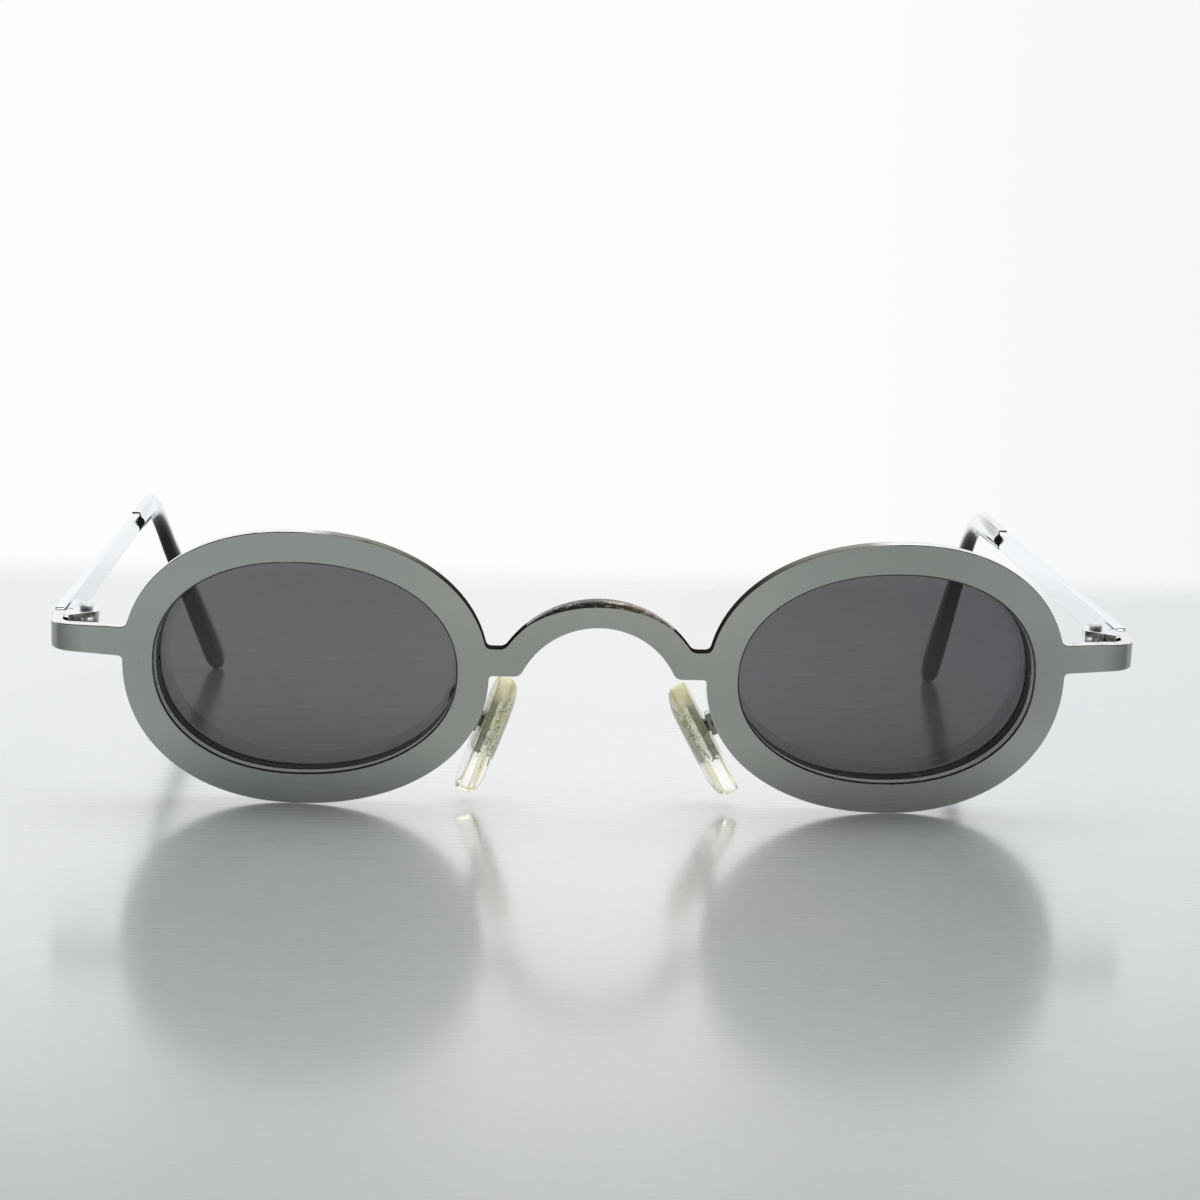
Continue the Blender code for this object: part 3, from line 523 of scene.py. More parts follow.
def bend_sheet(bm, facing):
    """Bends the flat sheet to its bow and its end pieces. Returns its normals, point by point."""
    bow_count = math.ceil(bend_start / bow_step)
    cuts = [bend_start * i / bow_count for i in range(bow_count + 1)]
    cuts += [bend_start + bend_length * i / bend_steps for i in range(1, bend_steps + 1)]
    for place in sorted({-cut for cut in cuts} | set(cuts)):
        geometry = list(bm.verts) + list(bm.edges) + list(bm.faces)
        bmesh.ops.bisect_plane(bm, geom=geometry, plane_co=(place, 0, 0), plane_no=(1, 0, 0))
    bmesh.ops.remove_doubles(bm, verts=bm.verts, dist=1e-7)
    bm.verts.index_update()
    normals = []
    for vert in bm.verts:
        s, t, depth = vert.co
        turned_by = math.copysign(front_angle(s), s)
        turn_cos, turn_sin = math.cos(turned_by), math.sin(turned_by)
        across, up, behind = vert[facing].normalized()
        turned = (across * turn_cos - behind * turn_sin, across * turn_sin + behind * turn_cos, up)
        normals.append(Vector(turned))
        vert.co = on_front(s, t, depth)
    return normals


def front_sheet():
    """The polished sheet, with rounded edges and a ground flat along the crown of the arch."""
    turns = [2 * math.pi * i / oval_steps for i in range(oval_steps)]
    opening = [oval_point(angle) for angle in turns]
    other = [(-s, t) for s, t in reversed(opening)]
    bm = bmesh.new()
    facing = bm.verts.layers.float_vector.new("facing")
    outlines = ((plate_outline(), True), (opening, False), (other, False))
    ends = [add_edge(bm, facing, outline, outside) for outline, outside in outlines]
    for edges in zip(*ends):
        bmesh.ops.triangle_fill(bm, use_beauty=True, edges=sum(edges, []))
    normals = bend_sheet(bm, facing)
    bm.verts.layers.float_vector.remove(facing)
    return finished_mesh(bm, "front_sheet"), normals


def eyewire(sign):
    """A grooved wire round the lens, open on the temple side between its two closing blocks."""
    lip = groove_half_width
    cut = wire_edge
    profile = (
        (0.0, eyewire_front + cut),
        (cut, eyewire_front),
        (eyewire_width - cut, eyewire_front),
        (eyewire_width, eyewire_front + cut),
        (eyewire_width, eyewire_back - 2 * cut),
        (eyewire_width - 2 * cut, eyewire_back),
        (2 * cut, eyewire_back),
        (0.0, groove_middle + lip),
        (groove_depth, groove_middle),
        (0.0, groove_middle - lip),
    )
    half_split = oval_turn(0.0, eyewire_split / 2)
    rings = []
    for angle in spread(half_split, 2 * math.pi - half_split, oval_steps + 1):
        places = [(oval_point(angle, grow), depth) for grow, depth in profile]
        rings.append([on_front(s, t, depth) for (s, t), depth in places])
    mesh = loft(rings, "eyewire")
    # The faces next to the lens get the second slot, a painted shade
    lens_sides = (0, 7, 8, 9)
    for index, polygon in enumerate(mesh.polygons):
        polygon.material_index = 1 if index % len(profile) in lens_sides else 0
    return mirrored(mesh, sign)


def lens(sign):
    """A domed lens whose bevelled edge sits in the eyewire's groove."""
    edge = -lens_clearance
    front = groove_middle - lens_thickness / 2
    rims = (
        (edge, groove_middle - lens_bevel_half_width),
        (lens_bevel, groove_middle),
        (edge, groove_middle + lens_bevel_half_width),
    )
    shares = [0.04] + spread(0.12, 0.96, 12) + [0.985, 1.0]
    turns = [2 * math.pi * i / oval_steps for i in range(oval_steps)]

    def ring(grow, share, depth):
        points = []
        for angle in turns:
            s, t = oval_point(angle, grow)
            points.append(on_front(oval_centre + (s - oval_centre) * share, t * share, depth))
        return points

    domed = [(edge, share, front - lens_bulge * (1 - share**2)) for share in shares]
    rings = [ring(*place) for place in domed]
    rings += [ring(grow, 1.0, depth) for grow, depth in rims]
    rings += [ring(grow, share, depth + lens_thickness) for grow, share, depth in reversed(domed)]
    return mirrored(loft(rings, "lens"), sign)


def temple_station(length, side):
    """Place, sideways axis and height axis of a temple's centre line, as on the right."""
    steps = 40  # of the sum along the bend
    reach = max(length - temple_straight, 0.0)
    place = Vector((temple_offset, min(length, temple_straight), 0.0))
    heading = Vector((0.0, 1.0, 0.0))
    for i in range(steps):
        gone = reach * (i + 0.5) / steps
        drop = min(gone / temple_bend_radius, temple_drop_angle)
        inward = temple_inward_angle[side] * min(gone / temple_inward_run, 1.0)
        level = math.cos(inward)
        heading = Vector((-math.sin(inward), level * math.cos(drop), -level * math.sin(drop)))
        place += heading * (reach / steps)
    sideways = Vector((1.0, 0.0, 0.0))
    sideways -= heading * sideways.dot(heading)
    sideways.normalize()
    return place, sideways, sideways.cross(heading)


def section(length, side, thickness, height, power, count, swelling=0.0):
    """A superellipse's points, swollen if asked in the middle of the side next to the face."""
    place, sideways, upward = temple_station(length, side)
    ring = []
    for i in range(count):
        angle = 2 * math.pi * (i + 0.5) / count
        reach = (abs(math.cos(angle)) ** power + abs(math.sin(angle)) ** power) ** (-1 / power)
        across = thickness / 2 * reach * math.cos(angle)
        up = reach * math.sin(angle)
        if across < 0.0:
            across -= swelling * max(0.0, 1 - (up / swelling_share) ** 2)
        ring.append(place + sideways * across + upward * up * height / 2)
    return ring


def rounded_strip(length, side, thickness, height, edge):
    """A ring of points round a rectangle with rounded corners."""
    place, sideways, upward = temple_station(length, side)
    ring = []
    for a, b, start in ((1, 1, 0.0), (-1, 1, 90.0), (-1, -1, 180.0), (1, -1, 270.0)):
        for turn in (0.0, 30.0, 60.0, 90.0):
            angle = math.radians(start + turn)
            across = a * (thickness / 2 - edge) + edge * math.cos(angle)
            up = b * (height / 2 - edge) + edge * math.sin(angle)
            ring.append(place + sideways * across + upward * up)
    return ring


def core_size(length):
    share = min(max((length - tip_start) / core_taper, 0.0), 1.0)
    thickness = temple_thickness + (core_thickness - temple_thickness) * share
    return thickness, temple_end_height + (core_height - temple_end_height) * share


def strip_height(length):
    share = min(max((length - hinge_strap_length) / (tip_start - hinge_strap_length), 0.0), 1.0)
    return temple_height + (temple_end_height - temple_height) * share


def temple(side, sign):
    """A flat strip with eased edges, down to just inside the sleeve."""
    start = butt_gap / 2
    lengths = [start + strip_end_edge] + spread(start + 5 * strip_end_edge, tip_start, 24)
    rings = []
    for length in lengths:
        height = strip_height(length)
        end = strip_end_edge if length == lengths[0] else 0.0
        size = (temple_thickness - 2 * end, height - 2 * end)
        rings.append(rounded_strip(length, side, *size, strip_edge - end))
    inside = tip_start + core_taper
    rings.append(rounded_strip(inside, side, *core_size(inside), strip_edge))
    return mirrored(loft(rings, "temple"), sign)


def tip_size(length, side):
    neck = temple_straight + bend_run / 2
    paddle = tip_end[side] - tip_end_round
    if length < neck:
        share = eased((length - tip_start) / (neck - tip_start))
        thickness = tip_mouth_thickness + (tip_neck_thickness - tip_mouth_thickness) * share
        height = tip_mouth_height + (tip_neck_height - tip_mouth_height) * share
    else:
        share = eased(min((length - neck) / (paddle - neck), 1.0))
        thickness = tip_neck_thickness + (tip_paddle_thickness - tip_neck_thickness) * share
        height = tip_neck_height + (tip_paddle_height - tip_neck_height) * share
    end = max(length - paddle, 0.0) / tip_end_round
    shrink = math.sqrt(max(1 - end * end, 0.0))
    return thickness * (tip_end_thickness + (1 - tip_end_thickness) * shrink), height * shrink


def mouth_ring(length, side, count):
    """A ring of the sleeve's first stretch, which starts as a thin skin over the temple."""
    share = eased(min((length - tip_start) / mouth_length, 1.0))
    slot_thickness, slot_height = (size + 2 * (mouth_gap + mouth_wall) for size in core_size(tip_start))
    slim = section(length, side, slot_thickness, slot_height, slot_power, count, mouth_swelling)
    full = section(length, side, *tip_size(length, side), sleeve_power, count)
    return [thin.lerp(thick, share) for thin, thick in zip(slim, full)]


def temple_tip(side, sign):
    """A smooth sleeve with a slim slot at its mouth, where the temple goes in."""
    count = 48
    paddle = tip_end[side] - tip_end_round
    rings = []
    for length in (tip_start + slot_depth, tip_start + mouth_edge / 2):
        thickness, height = core_size(length)
        size = (thickness + 2 * mouth_gap, height + 2 * mouth_gap)
        rings.append(section(length, side, *size, slot_power, count))
    lengths = [tip_start, tip_start + mouth_edge]
    lengths += spread(tip_start + 0.5 * MM, tip_start + mouth_length, 8)
    rings += [mouth_ring(length, side, count) for length in lengths]
    lengths = spread(tip_start + mouth_length, temple_straight, 6)[1:-1]
    lengths += spread(temple_straight, temple_straight + bend_run, 22)[:-1]
    lengths += spread(temple_straight + bend_run, paddle, 14)
    lengths += [paddle + tip_end_round * math.sin(math.radians(turn)) for turn in tip_end_turns]
    rings += [section(length, side, *tip_size(length, side), sleeve_power, count) for length in lengths]
    return mirrored(loft(rings, "tip"), sign)


def nose_pad(sign):
    """A moulded pad with a flat back, rounded edges and a crowned skin side."""
    near = pad_standoff
    far = near + pad_thickness
    edge = pad_edge
    count = 72

    def ring(inset, depth):
        points = []
        for i in range(count):
            angle = 2 * math.pi * i / count
            up = signed_power(math.sin(angle), 2 / pad_power) * (pad_length / 2 - inset)
            back = signed_power(math.cos(angle), 2 / pad_power) * (pad_width / 2 - inset)
            back *= 1 - pad_taper * up / (pad_length / 2)
            points.append(Vector((-depth, back, up - pad_centre_drop)))
        return points

    rings = []
    for angle in (0, 22, 45, 68, 90):
        turn = math.radians(angle)
        rings.append(ring(edge * (1 - math.sin(turn)), near + edge * (1 - math.cos(turn))))
    for angle in (0, 20, 40, 60):
        turn = math.radians(angle)
        rings.append(ring(2 * edge * (1 - math.cos(turn)), far - 2 * edge * (1 - math.sin(turn))))
    for inset in spread(dome_start, dome_end, 10):
        share = 1 - inset / dome_reach
        rings.append(ring(inset, far + pad_dome * (1 - share**2)))
    mesh = loft(rings, "pad")
    edge_rows = (0, 1, 2, 3, 5, 6, 7)
    for index, polygon in enumerate(mesh.polygons):
        polygon.material_index = 1 if index // count in edge_rows else 0
    return mirrored(mesh, sign)


# ---------------- materials


def feed(tree, node, inputs):
    """Links a node's inputs to sockets, or sets them to values. Returns its outputs."""
    for name, value in inputs.items():
        if isinstance(value, bpy.types.NodeSocket):
            tree.links.new(value, node.inputs[name])
        else:
            node.inputs[name].default_value = value
    return node.outputs


def made_node(tree, kind, inputs=None):
    """The outputs of a new shader node with these inputs."""
    return feed(tree, tree.nodes.new(f"ShaderNode{kind}"), inputs or {})


def new_material(name):
    """A material, its node tree and the place on the object, in metres."""
    made = bpy.data.materials.new(name)
    made.use_nodes = True
    tree = made.node_tree
    place = made_node(tree, "TexCoord")["Object"]
    return made, tree, place


def finished(made, inputs):
    """The material, with its shader's inputs fed."""
    feed(made.node_tree, made.node_tree.nodes["Principled BSDF"], inputs)
    return made


def noise(tree, vector, scale, detail=3.0, roughness=0.55):
    inputs = {"Vector": vector, "Scale": scale, "Detail": detail, "Roughness": roughness}
    return made_node(tree, "TexNoise", inputs)["Fac"]


def streaks(tree, vector, scales, detail, roughness=0.55, turn=(0.0, 0.0, 0.0)):
    """Noise with a scale of its own along each axis."""
    inputs = {"Vector": vector, "Scale": scales, "Rotation": turn}
    stretched = made_node(tree, "Mapping", inputs)["Vector"]
    return noise(tree, stretched, 1.0, detail, roughness)


def ramp(tree, value, stops):
    """A colour ramp: stops are (position, grey or colour)."""
    made = tree.nodes.new("ShaderNodeValToRGB")
    points = made.color_ramp.elements
    while len(points) < len(stops):
        points.new(0.5)
    for point, (place, colour) in zip(points, stops):
        point.position = place
        colour = (colour,) * 3 if isinstance(colour, float) else colour
        point.color = (*colour, 1.0)
    return feed(tree, made, {"Fac": value})["Color"]


def mixed(tree, factor, first, second, blend="MIX"):
    """A colour between two. All three are sockets or values."""
    made = tree.nodes.new("ShaderNodeMix")
    made.data_type = "RGBA"
    made.blend_type = blend
    first, second = ((*colour, 1.0) if isinstance(colour, tuple) else colour for colour in (first, second))
    return feed(tree, made, {"Factor": factor, "A": first, "B": second})["Result"]


def shaded_by(tree, base, value, stops):
    """The base colour times a ramp along a value."""
    return mixed(tree, 1.0, base, ramp(tree, value, stops), "MULTIPLY")


def computed(tree, operation, *values):
    """The result of a Math node, kept between 0 and 1."""
    made = tree.nodes.new("ShaderNodeMath")
    made.operation = operation
    made.use_clamp = True
    return feed(tree, made, dict(enumerate(values)))["Value"]


def ranged(tree, value, low, high):
    """A value from 0 to 1, put between two others."""
    inputs = {"Value": value, "To Min": low, "To Max": high}
    return made_node(tree, "MapRange", inputs)["Result"]


def part_of(tree, vector, axis):
    return made_node(tree, "SeparateXYZ", {"Vector": vector})[axis]


def along(tree, place, axis, low, high, mirror=False, smooth=False):
    """0 to 1 along an axis, between two places, the same on both sides if asked."""
    value = part_of(tree, place, axis)
    if mirror:
        value = computed(tree, "ABSOLUTE", value)
    made = tree.nodes.new("ShaderNodeMapRange")
    made.interpolation_type = "SMOOTHSTEP" if smooth else "LINEAR"
    return feed(tree, made, {"Value": value, "From Min": low, "From Max": high})["Result"]


def painted_shades(tree, place, base, changes):
    """The base colour, times painted shade and light that changes over the object."""
    for axis, start, end, mirror, stops in changes:
        base = shaded_by(tree, base, along(tree, place, axis, start, end, mirror), stops)
    return base


def bumped(tree, height, strength, distance):
    """The normals of a fine relief."""
    inputs = {"Height": height, "Strength": strength, "Distance": distance}
    return made_node(tree, "Bump", inputs)["Normal"]


def metal(name, colour, low, high, spots=(0.30, 0.25, 0.19), spot_start=0.70, plating=1.0, painted_shade=()):
    """Plated metal: roughness in patches, fine scratches, a few worn brown spots and any painted shade and
    light that it is given.
    """
    made, tree, place = new_material(name)
    darker, lighter = (tuple(min(c * share, 1.0) for c in colour) for share in (0.96, 1.04))
    base = mixed(tree, noise(tree, place, 90.0), darker, lighter)
    flecks = noise(tree, place, 420.0, 6.0, 0.7)
    worn = ramp(tree, flecks, ((spot_start, 0.0), (spot_start + 0.06, 1.0)))
    base = mixed(tree, worn, base, spots)
    scratches = streaks(tree, place, (600.0, 600.0, 9000.0), 2.0, turn=(0.3, 0.2, 0.4))
    inputs = {
        "Base Color": painted_shades(tree, place, base, painted_shade),
        "Metallic": plating,
        "Roughness": ranged(tree, noise(tree, place, 260.0, 4.0), low, high),
        "Normal": bumped(tree, scratches, 0.12, 0.004 * MM),
    }
    return finished(made, inputs)


def worn_edge():
    """The ground crown of the arch: bare black and grey metal, with brown scuffs to the right."""
    made, tree, place = new_material("worn_edge")
    scuffs = streaks(tree, place, (900.0, 2600.0, 2600.0), 6.0, 0.75)
    black = (
        (0.34, (0.20, 0.10, 0.05)),
        (0.39, (0.03, 0.025, 0.02)),
        (0.55, (0.06, 0.055, 0.05)),
        (0.62, (0.42, 0.43, 0.39)),
    )
    brown = (
        (0.36, (0.40, 0.16, 0.06)),
        (0.44, (0.08, 0.06, 0.04)),
        (0.50, (0.17, 0.15, 0.10)),
        (0.60, (0.42, 0.41, 0.34)),
    )
    rightward = along(tree, place, "X", -0.0005, 0.0045)
    inputs = {
        "Base Color": mixed(tree, rightward, ramp(tree, scuffs, black), ramp(tree, scuffs, brown)),
        "Metallic": 0.45,
        "Roughness": ranged(tree, scuffs, 0.15, 0.40),
        "Normal": bumped(tree, scuffs, 0.6, 0.03 * MM),
    }
    return finished(made, inputs)


def worn_wall():
    """The sheet's upper outer edge: black by the nose, dull grey over the ovals, then plated."""
    made, tree, place = new_material("worn_wall")
    outward = along(tree, place, "X", 0.0105, 0.0405, True)
    ages = (
        (0.0, (0.012, 0.010, 0.008)),
        (0.26, (0.03, 0.027, 0.02)),
        (0.44, (0.17, 0.165, 0.14)),
        (0.70, (0.28, 0.28, 0.255)),
        (0.80, (0.86, 0.87, 0.84)),
    )
    blotches = streaks(tree, place, (500.0, 1500.0, 1500.0), 4.0, 0.7)
    bare = ((0.30, (0.55, 0.42, 0.32)), (0.42, 1.0))
    inputs = {
        "Base Color": shaded_by(tree, ramp(tree, outward, ages), blotches, bare),
        "Metallic": ramp(tree, outward, ((0.74, 0.0), (0.82, 1.0))),
        "Roughness": ranged(tree, blotches, 0.12, 0.22),
        "Specular IOR Level": 0.0,
    }
    return finished(made, inputs)


def lens_glass():
    """Smoky glass, slightly smeared, with painted shade of what is seen through it: darker towards the
    bottom and on the right.
    """
    made, tree, place = new_material("tinted_glass")
    base = mixed(tree, noise(tree, place, 60.0, 2.0), (0.146, 0.145, 0.154), (0.156, 0.153, 0.160))
    inputs = {
        "Base Color": painted_shades(tree, place, base, lens_shading),
        "Roughness": ramp(tree, noise(tree, place, 150.0, 4.0), ((0.45, 0.0), (0.75, 0.06))),
        "Transmission Weight": 1.0,
        "IOR": 1.7,
    }
    return finished(made, inputs)


def black_plastic():
    """Glossy black plastic with faint rub marks; where it is seen aslant its colour is painted white and
    metallic, a painted sheen that mirrors the room.
    """
    made, tree, place = new_material("black_plastic")
    base = mixed(tree, noise(tree, place, 120.0), (0.010, 0.010, 0.011), (0.018, 0.017, 0.018))
    gloss = made_node(tree, "LayerWeight", {"Blend": 0.5})
    # Painted sheen: white and metallic where the plastic is seen aslant
    sheen = ramp(tree, gloss["Facing"], ((0.67, 0.0), (0.78, 1.0)))
    rubs = noise(tree, place, 400.0, 5.0, 0.65)
    inputs = {
        "Base Color": mixed(tree, sheen, base, (0.86, 0.88, 0.90)),
        "Metallic": sheen,
        "Roughness": ranged(tree, rubs, 0.08, 0.16),
        "IOR": 1.45,
        "Specular IOR Level": 0.3,
        "Normal": bumped(tree, rubs, 0.05, 0.006 * MM),
    }
    return finished(made, inputs)


def pad_plastic(name, young, old, yellowing, clearness):
    """Clear plastic, cloudy and yellowed at its ends, grained and speckled beside the insert."""
    made, tree, place = new_material(name)
    height = part_of(tree, made_node(tree, "TexCoord")["Generated"], "Z")
    yellow = ((0.0, 1.0), (0.05, 0.9), (0.09, yellowing), (0.40, yellowing), (0.60, 0.5))
    yellow += ((0.80, 0.55), (0.88, 1.0))
    base = mixed(tree, ramp(tree, height, yellow), young, old)
    patches = ramp(tree, noise(tree, place, 420.0), ((0.45, 0.0), (0.75, 0.2)))
    base = mixed(tree, patches, base, old)
    beside = ramp(tree, height, ((0.32, 0.0), (0.35, 1.0), (0.77, 1.0), (0.80, 0.0)))
    grain = noise(tree, place, 2400.0, 3.0, 0.7)
    dots = computed(tree, "MULTIPLY", ramp(tree, grain, ((0.54, 0.0), (0.61, 1.0))), beside)
    clear = ((0.0, 0.6), (0.05, 0.8), (0.09, 1.0), (0.33, 1.0), (0.37, 0.85), (0.78, 0.80), (0.84, 0.40))
    opened = ramp(tree, height, tuple((stop, share * clearness) for stop, share in clear))
    inputs = {
        "Base Color": mixed(tree, dots, base, (0.24, 0.32, 0.22)),
        "Transmission Weight": computed(tree, "SUBTRACT", opened, dots),
        "Roughness": ramp(tree, height, ((0.32, 0.0), (0.35, 0.08), (0.77, 0.10), (0.84, 0.25))),
        "IOR": 1.42,
        "Normal": bumped(tree, computed(tree, "MULTIPLY", grain, beside), 0.7, 0.10 * MM),
    }
    return finished(made, inputs)


def insert_finish():
    """A dull stamped plate with an olive tarnish and a few green spots."""
    made, tree, place = new_material("insert_finish")
    patches = noise(tree, place, 900.0, 5.0, 0.7)
    tarnish = (
        (0.34, (0.04, 0.16, 0.14)),
        (0.40, (0.16, 0.17, 0.10)),
        (0.52, (0.36, 0.36, 0.24)),
        (0.66, (0.62, 0.61, 0.46)),
    )
    inputs = {
        "Base Color": ramp(tree, patches, tarnish),
        "Metallic": 0.35,
        "Roughness": ranged(tree, patches, 0.3, 0.55),
        "Normal": bumped(tree, patches, 0.4, 0.03 * MM),
    }
    return finished(made, inputs)


def turned_steel(name, dark, bright, low, high):
    """Screw steel with the rings that a lathe leaves."""
    made, tree, place = new_material(name)
    patches = noise(tree, place, 900.0, 4.0)
    rings = streaks(tree, place, (400.0, 400.0, 14000.0), 2.0)
    inputs = {
        "Base Color": mixed(tree, patches, dark, bright),
        "Metallic": 1.0,
        "Roughness": ranged(tree, patches, low, high),
        "Normal": bumped(tree, rings, 0.2, 0.01 * MM),
    }
    return finished(made, inputs)


# ---------------- pieces


def softened_edges():
    """A node group that welds a CAD mesh and shades it smooth except at its sharp edges."""
    group = bpy.data.node_groups.new("softened_edges", "GeometryNodeTree")
    group.interface.new_socket("Geometry", in_out="INPUT", socket_type="NodeSocketGeometry")
    group.interface.new_socket("Geometry", in_out="OUTPUT", socket_type="NodeSocketGeometry")
    nodes, links = group.nodes, group.links
    start = nodes.new("NodeGroupInput")
    end = nodes.new("NodeGroupOutput")
    plain = nodes.new("GeometryNodeRemoveAttribute")
    plain.inputs["Name"].default_value = "custom_normal"
    weld = nodes.new("GeometryNodeMergeByDistance")
    weld.inputs["Distance"].default_value = 1e-6
    smooth = nodes.new("GeometryNodeSetShadeSmooth")
    smooth.domain = "FACE"
    crease = nodes.new("GeometryNodeSetShadeSmooth")
    crease.domain = "EDGE"
    angle = nodes.new("GeometryNodeInputMeshEdgeAngle")
    below = nodes.new("FunctionNodeCompare")
    below.data_type = "FLOAT"
    below.operation = "LESS_THAN"
    below.inputs["B"].default_value = smooth_below
    chain = (start, plain, weld, smooth, crease, end)
    for before, after in zip(chain, chain[1:]):
        links.new(before.outputs["Geometry"], after.inputs["Geometry"])
    links.new(angle.outputs["Unsigned Angle"], below.inputs["A"])
    links.new(below.outputs["Result"], crease.inputs["Shade Smooth"])
    return group


def keep_node(node, finish, softened, bevel):
    """Gives a CAD node its material, smooth shading and eased edges."""
    obj = frame["nodes"][node]
    if not obj.material_slots:
        obj.data.materials.append(None)
    for slot in obj.material_slots:
        slot.material = finish
    weld = obj.modifiers.new("Softened", "NODES")
    weld.node_group = softened
    if bevel:
        ease = obj.modifiers.new("Eased", "BEVEL")
        ease.width = bevel
        ease.segments = 2
        ease.limit_method = "ANGLE"
        ease.angle_limit = bevel_above
        ease.harden_normals = True


def add_piece(name, mesh, matrix, finishes, body, node, angle=None):
    """A new piece in place of a CAD node, riding on the node's body."""
    mesh.name = name
    mesh.transform(matrix)
    for finish in finishes:
        mesh.materials.append(finish)
    mesh.shade_smooth()
    if angle is not None:
        mesh.set_sharp_from_angle(angle=math.radians(angle))
    obj = new_object(name, mesh)
    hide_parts(node)
    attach(obj, body)
    return obj


def weigh_normals(obj):
    """Keeps the large flat faces flat in shading."""
    made = obj.modifiers.new("Weighted", "WEIGHTED_NORMAL")
    made.mode = "FACE_AREA"
    made.weight = 100
    made.keep_sharp = True


def hinge_place(sign):
    leg_end = on_front(sheet_end, end_rise, 0.0)
    leg_end.rotate(Euler((pantoscopic_angle, 0.0, 0.0)))
    return Vector((sign * (leg_end.x - hinge_inset), leg_end.y + butt_gap / 2, leg_end.z))


def pad_matrix(sign):
    x = rim_gap / 2 + pad_pivot_inset
    place = Vector((sign * x, eyewire_back + pad_pivot_depth, -pad_pivot_drop))
    tipped = Euler((-pad_top_back, 0.0, 0.0)).to_matrix()
    lean = Euler((0.0, -sign * pad_lean, 0.0)).to_matrix()
    splay = Euler((0.0, 0.0, -sign * pad_splay)).to_matrix()
    rocked = Euler((0.0, -pad_rest_rock, 0.0)).to_matrix()
    return Matrix.Translation(place) @ (tipped @ lean @ splay @ rocked).to_4x4()


# ---------------- stage


def floor_material():
    """Pale lacquered table top: faint streaks and specks, painted light from the front back to the glasses
    and painted shade to its sides, fading into the background all round.
    """
    made, tree, place = new_material("table_top")
    depth = along(tree, place, "Y", floor_near, floor_far)
    tone = painted_shades(tree, place, ramp(tree, depth, floor_tones), floor_shading)
    tone = shaded_by(tree, tone, noise(tree, place, 18.0, 4.0), ((0.3, (0.95, 0.97, 0.97)), (0.7, 1.0)))
    specks = ramp(tree, noise(tree, place, 480.0, 3.0, 0.8), ((0.76, 0.0), (0.80, 1.0)))
    brushed = streaks(tree, place, (60.0, 2200.0, 60.0), 3.0)
    inputs = {
        "Base Color": mixed(tree, specks, tone, (0.30, 0.29, 0.27)),
        "Roughness": ranged(tree, brushed, 0.25, 0.31),
        "IOR": 1.5,
        "Coat Weight": ramp(tree, depth, floor_gloss),
        "Coat Roughness": 0.135,
        "Coat IOR": 1.5,
        "Normal": bumped(tree, brushed, 0.015, 0.05 * MM),
    }
    finished(made, inputs)
    surface = tree.nodes["Principled BSDF"].outputs["BSDF"]
    faded = [along(tree, place, *fade, smooth=True) for fade in floor_fades]
    gone = computed(tree, "MAXIMUM", computed(tree, "MAXIMUM", faded[0], faded[1]), faded[2])
    clear = made_node(tree, "BsdfTransparent")["BSDF"]
    blend = made_node(tree, "MixShader", {"Fac": gone, 1: surface, 2: clear})
    feed(tree, tree.nodes["Material Output"], {"Surface": blend["Shader"]})
    return made


def add_floor():
    mesh = bpy.data.meshes.new("table")
    corners = [(-table_reach, -table_reach), (table_reach, -table_reach)]
    corners += [(table_reach, table_back), (-table_reach, table_back)]
    mesh.from_pydata([(x, y, 0.0) for x, y in corners], [], [(0, 1, 2, 3)])
    mesh.materials.append(floor_material())
    new_object("table", mesh)


def set_world():
    """White for the camera and through glass; metal sees white behind, a dark room in front."""
    world = bpy.data.worlds.new("studio")
    bpy.context.scene.world = world
    world.use_nodes = True
    tree = world.node_tree
    direction = made_node(tree, "TexCoord")["Generated"]
    rightward = along(tree, direction, "X", 0.05, 0.35, smooth=True)
    upward = along(tree, direction, "Z", 0.55, 0.95, smooth=True)
    backward = along(tree, direction, "Y", -0.1, 0.35, smooth=True)
    backdrop = mixed(tree, rightward, (0.985, 0.988, 0.990), (0.86, 0.885, 0.905))
    room = mixed(tree, backward, room_dark, mixed(tree, upward, backdrop, room_overhead))
    path = made_node(tree, "LightPath")
    seen = computed(tree, "MAXIMUM", path["Is Camera Ray"], path["Is Transmission Ray"])
    felt = mixed(tree, path["Is Glossy Ray"], room_light, room)
    shown = mixed(tree, seen, felt, backdrop)
    feed(tree, tree.nodes["Background"], {"Color": shown, "Strength": 1.0})


def add_lamp():
    """One large soft lamp above and behind the glasses."""
    data = bpy.data.lights.new("overhead", "AREA")
    data.shape = "SQUARE"
    data.size = lamp_size
    data.energy = lamp_power
    lamp = new_object("overhead", data)
    lamp.location = lamp_place
    lamp.rotation_euler = (-Vector(lamp_place)).to_track_quat("-Z", "Y").to_euler()


def add_camera():
    """The photograph's view: from a little to the left, looking slightly down, slightly rolled."""
    yaw_sin, yaw_cos, pitch_cos = math.sin(camera_yaw), math.cos(camera_yaw), math.cos(camera_pitch)
    level = Vector((yaw_cos, -yaw_sin, 0.0))
    forward = Vector((yaw_sin * pitch_cos, yaw_cos * pitch_cos, -math.sin(camera_pitch)))
    upright = level.cross(forward)
    right = level * math.cos(camera_roll) + upright * math.sin(camera_roll)
    up = upright * math.cos(camera_roll) - level * math.sin(camera_roll)
    data = bpy.data.cameras.new("view")
    data.sensor_width = sensor_width
    data.lens = focal_length / photo_width * sensor_width
    data.clip_start = 0.01
    data.clip_end = 20.0
    camera = new_object("view", data)
    turn = Matrix((right, up, -forward)).transposed().to_4x4()
    camera.matrix_world = Matrix.Translation(camera_place) @ turn
    bpy.context.scene.camera = camera


# ---------------- scene

for obj in list(bpy.data.objects):
    bpy.data.objects.remove(obj, do_unlink=True)

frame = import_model()

add_camera()
add_floor()
set_world()
add_lamp()
bpy.context.scene.view_settings.view_transform = "Standard"
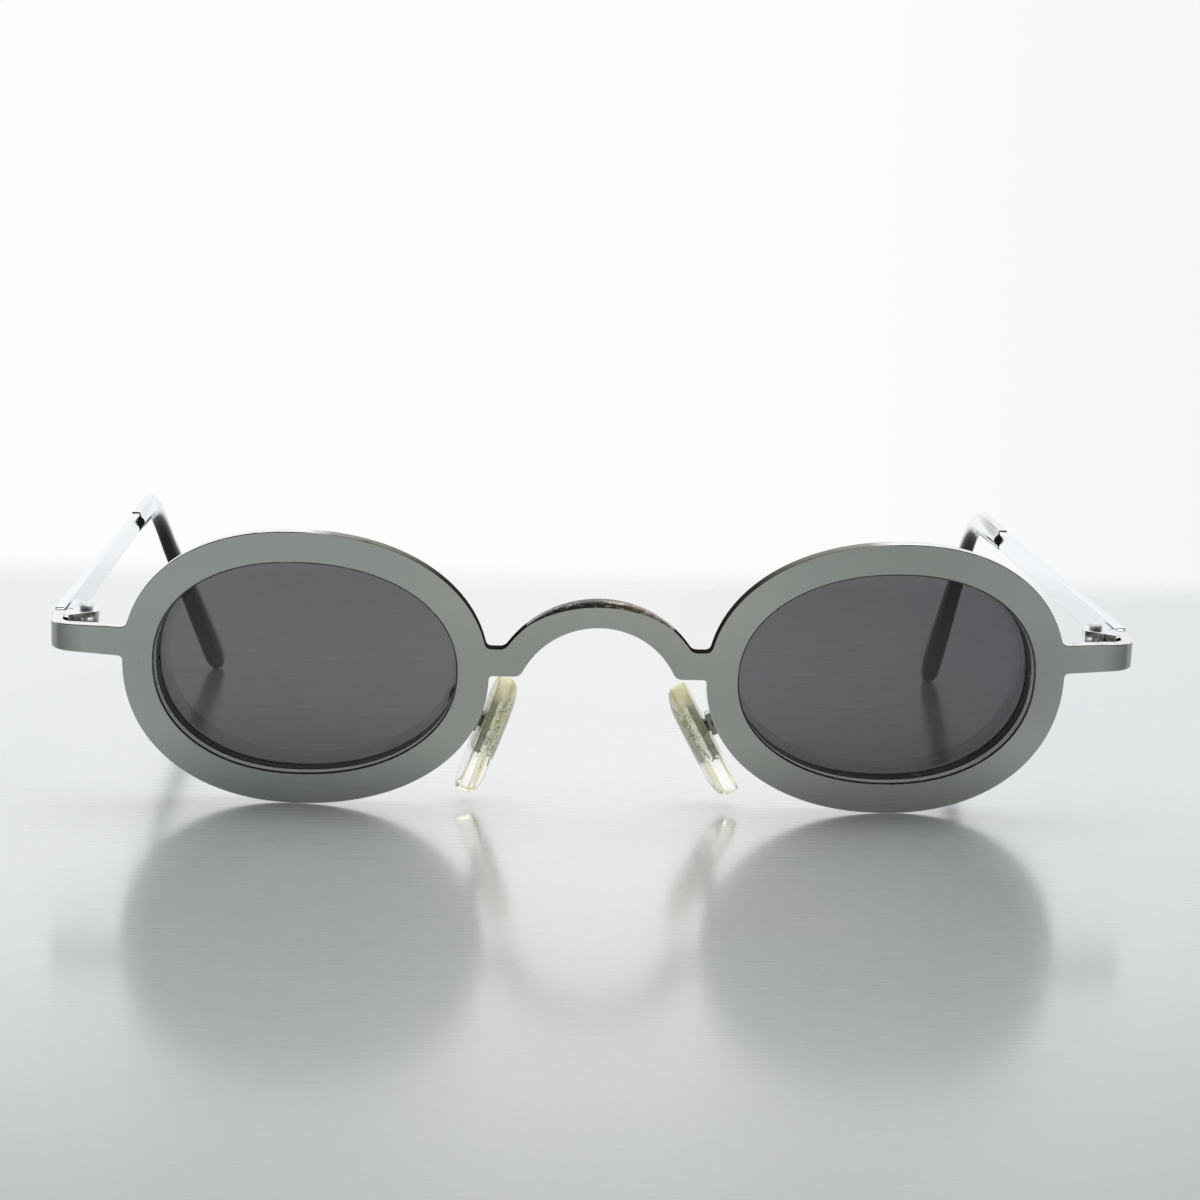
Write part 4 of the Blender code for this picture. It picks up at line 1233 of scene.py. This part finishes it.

# The front's plating, with painted shade and light over its face
chrome = metal("polished_chrome", (0.606, 0.618, 0.574), 0.07, 0.13, painted_shade=face_painted_shade)
# A brighter copy of the plating for the openings' walls: painted highlight
painted_highlight_wall = metal("painted_highlight_wall", (0.86, 0.87, 0.82), 0.10, 0.20, plating=0.72)
strip_chrome = metal("temple_chrome", (0.88, 0.92, 0.95), 0.08, 0.16)
hinge_metal = metal("hinge_metal", (0.84, 0.86, 0.87), 0.05, 0.10)
wire_metal = metal("wire_metal", (0.42, 0.43, 0.41), 0.14, 0.26, spot_start=0.62)
# A dark copy of the wire's metal: painted shade in the groove by the lens and on the openings' rounded
# front edges
painted_inner_shade = metal("painted_inner_shade", (0.13, 0.13, 0.14), 0.22, 0.36, (0.30, 0.31, 0.33), 0.60)
ground_crown = worn_edge()
worn_outside = worn_wall()
screw_steel = turned_steel("turned_steel", (0.42, 0.42, 0.41), (0.60, 0.60, 0.58), 0.16, 0.36)
bright_screw = turned_steel("bright_screw", (0.55, 0.56, 0.57), (0.95, 0.96, 0.97), 0.35, 0.60)
glass = lens_glass()
black = black_plastic()
clear = pad_plastic("pad_plastic", (1.0, 1.0, 0.97), (0.93, 0.89, 0.58), 0.0, 1.0)
pad_rim = pad_plastic("pad_rim", (0.80, 0.76, 0.50), (0.74, 0.68, 0.37), 0.2, 0.85)
tarnished = insert_finish()

root = Matrix.Translation(root_place) @ Matrix.Rotation(root_angle, 4, "X")
front = root @ Matrix.Rotation(pantoscopic_angle, 4, "X")

sheet_mesh, sheet_normals = front_sheet()
finishes = (chrome, painted_highlight_wall, ground_crown, worn_outside, painted_inner_shade)
add_piece("front_sheet", sheet_mesh, front, finishes, "front", "front_plate")
turned_normals = [front.to_3x3() @ normal for normal in sheet_normals]
sheet_mesh.normals_split_custom_set_from_vertices(turned_normals)

softened = softened_edges()
kept_nodes = (
    ("upper_closing_block", wire_metal, small_bevel),
    ("lower_closing_block", wire_metal, small_bevel),
    ("pad_box", wire_metal, small_bevel),
    ("pad_arm", wire_metal, 0.0),
    ("front_hinge_leaf", hinge_metal, small_bevel),
    ("temple_hinge_leaf", hinge_metal, small_bevel),
    ("hinge_screw", bright_screw, head_bevel),
    ("rim_screw", screw_steel, screw_bevel),
    ("pad_screw", screw_steel, screw_bevel),
    ("pad_insert", tarnished, screw_bevel),
)
for side, sign in SIDES:
    hinge = root @ Matrix.Translation(hinge_place(sign)) @ Matrix.Rotation(sign * temple_toe_in, 4, "Z")
    pad = front @ pad_matrix(sign)
    arm = f"{side}_arm"
    wire = (wire_metal, painted_inner_shade)
    add_piece(f"{side}_rim_wire", eyewire(sign), front, wire, "front", f"{side}_eyewire", 40)
    add_piece(f"{side}_glass", lens(sign), front, (glass,), "front", f"{side}_lens", 25)
    strip = temple(side, sign)
    strip = add_piece(f"{side}_strip", strip, hinge, (strip_chrome,), arm, f"{side}_temple")
    weigh_normals(strip)
    sleeve = temple_tip(side, sign)
    add_piece(f"{side}_sleeve", sleeve, hinge, (black,), arm, f"{side}_temple_tip", 50)
    plastic = nose_pad(sign)
    skins = (clear, pad_rim)
    add_piece(f"{side}_clear_pad", plastic, pad, skins, f"{side}_pad", f"{side}_nose_pad", 50)
    for node, finish, bevel in kept_nodes:
        keep_node(f"{side}_{node}", finish, softened, bevel)
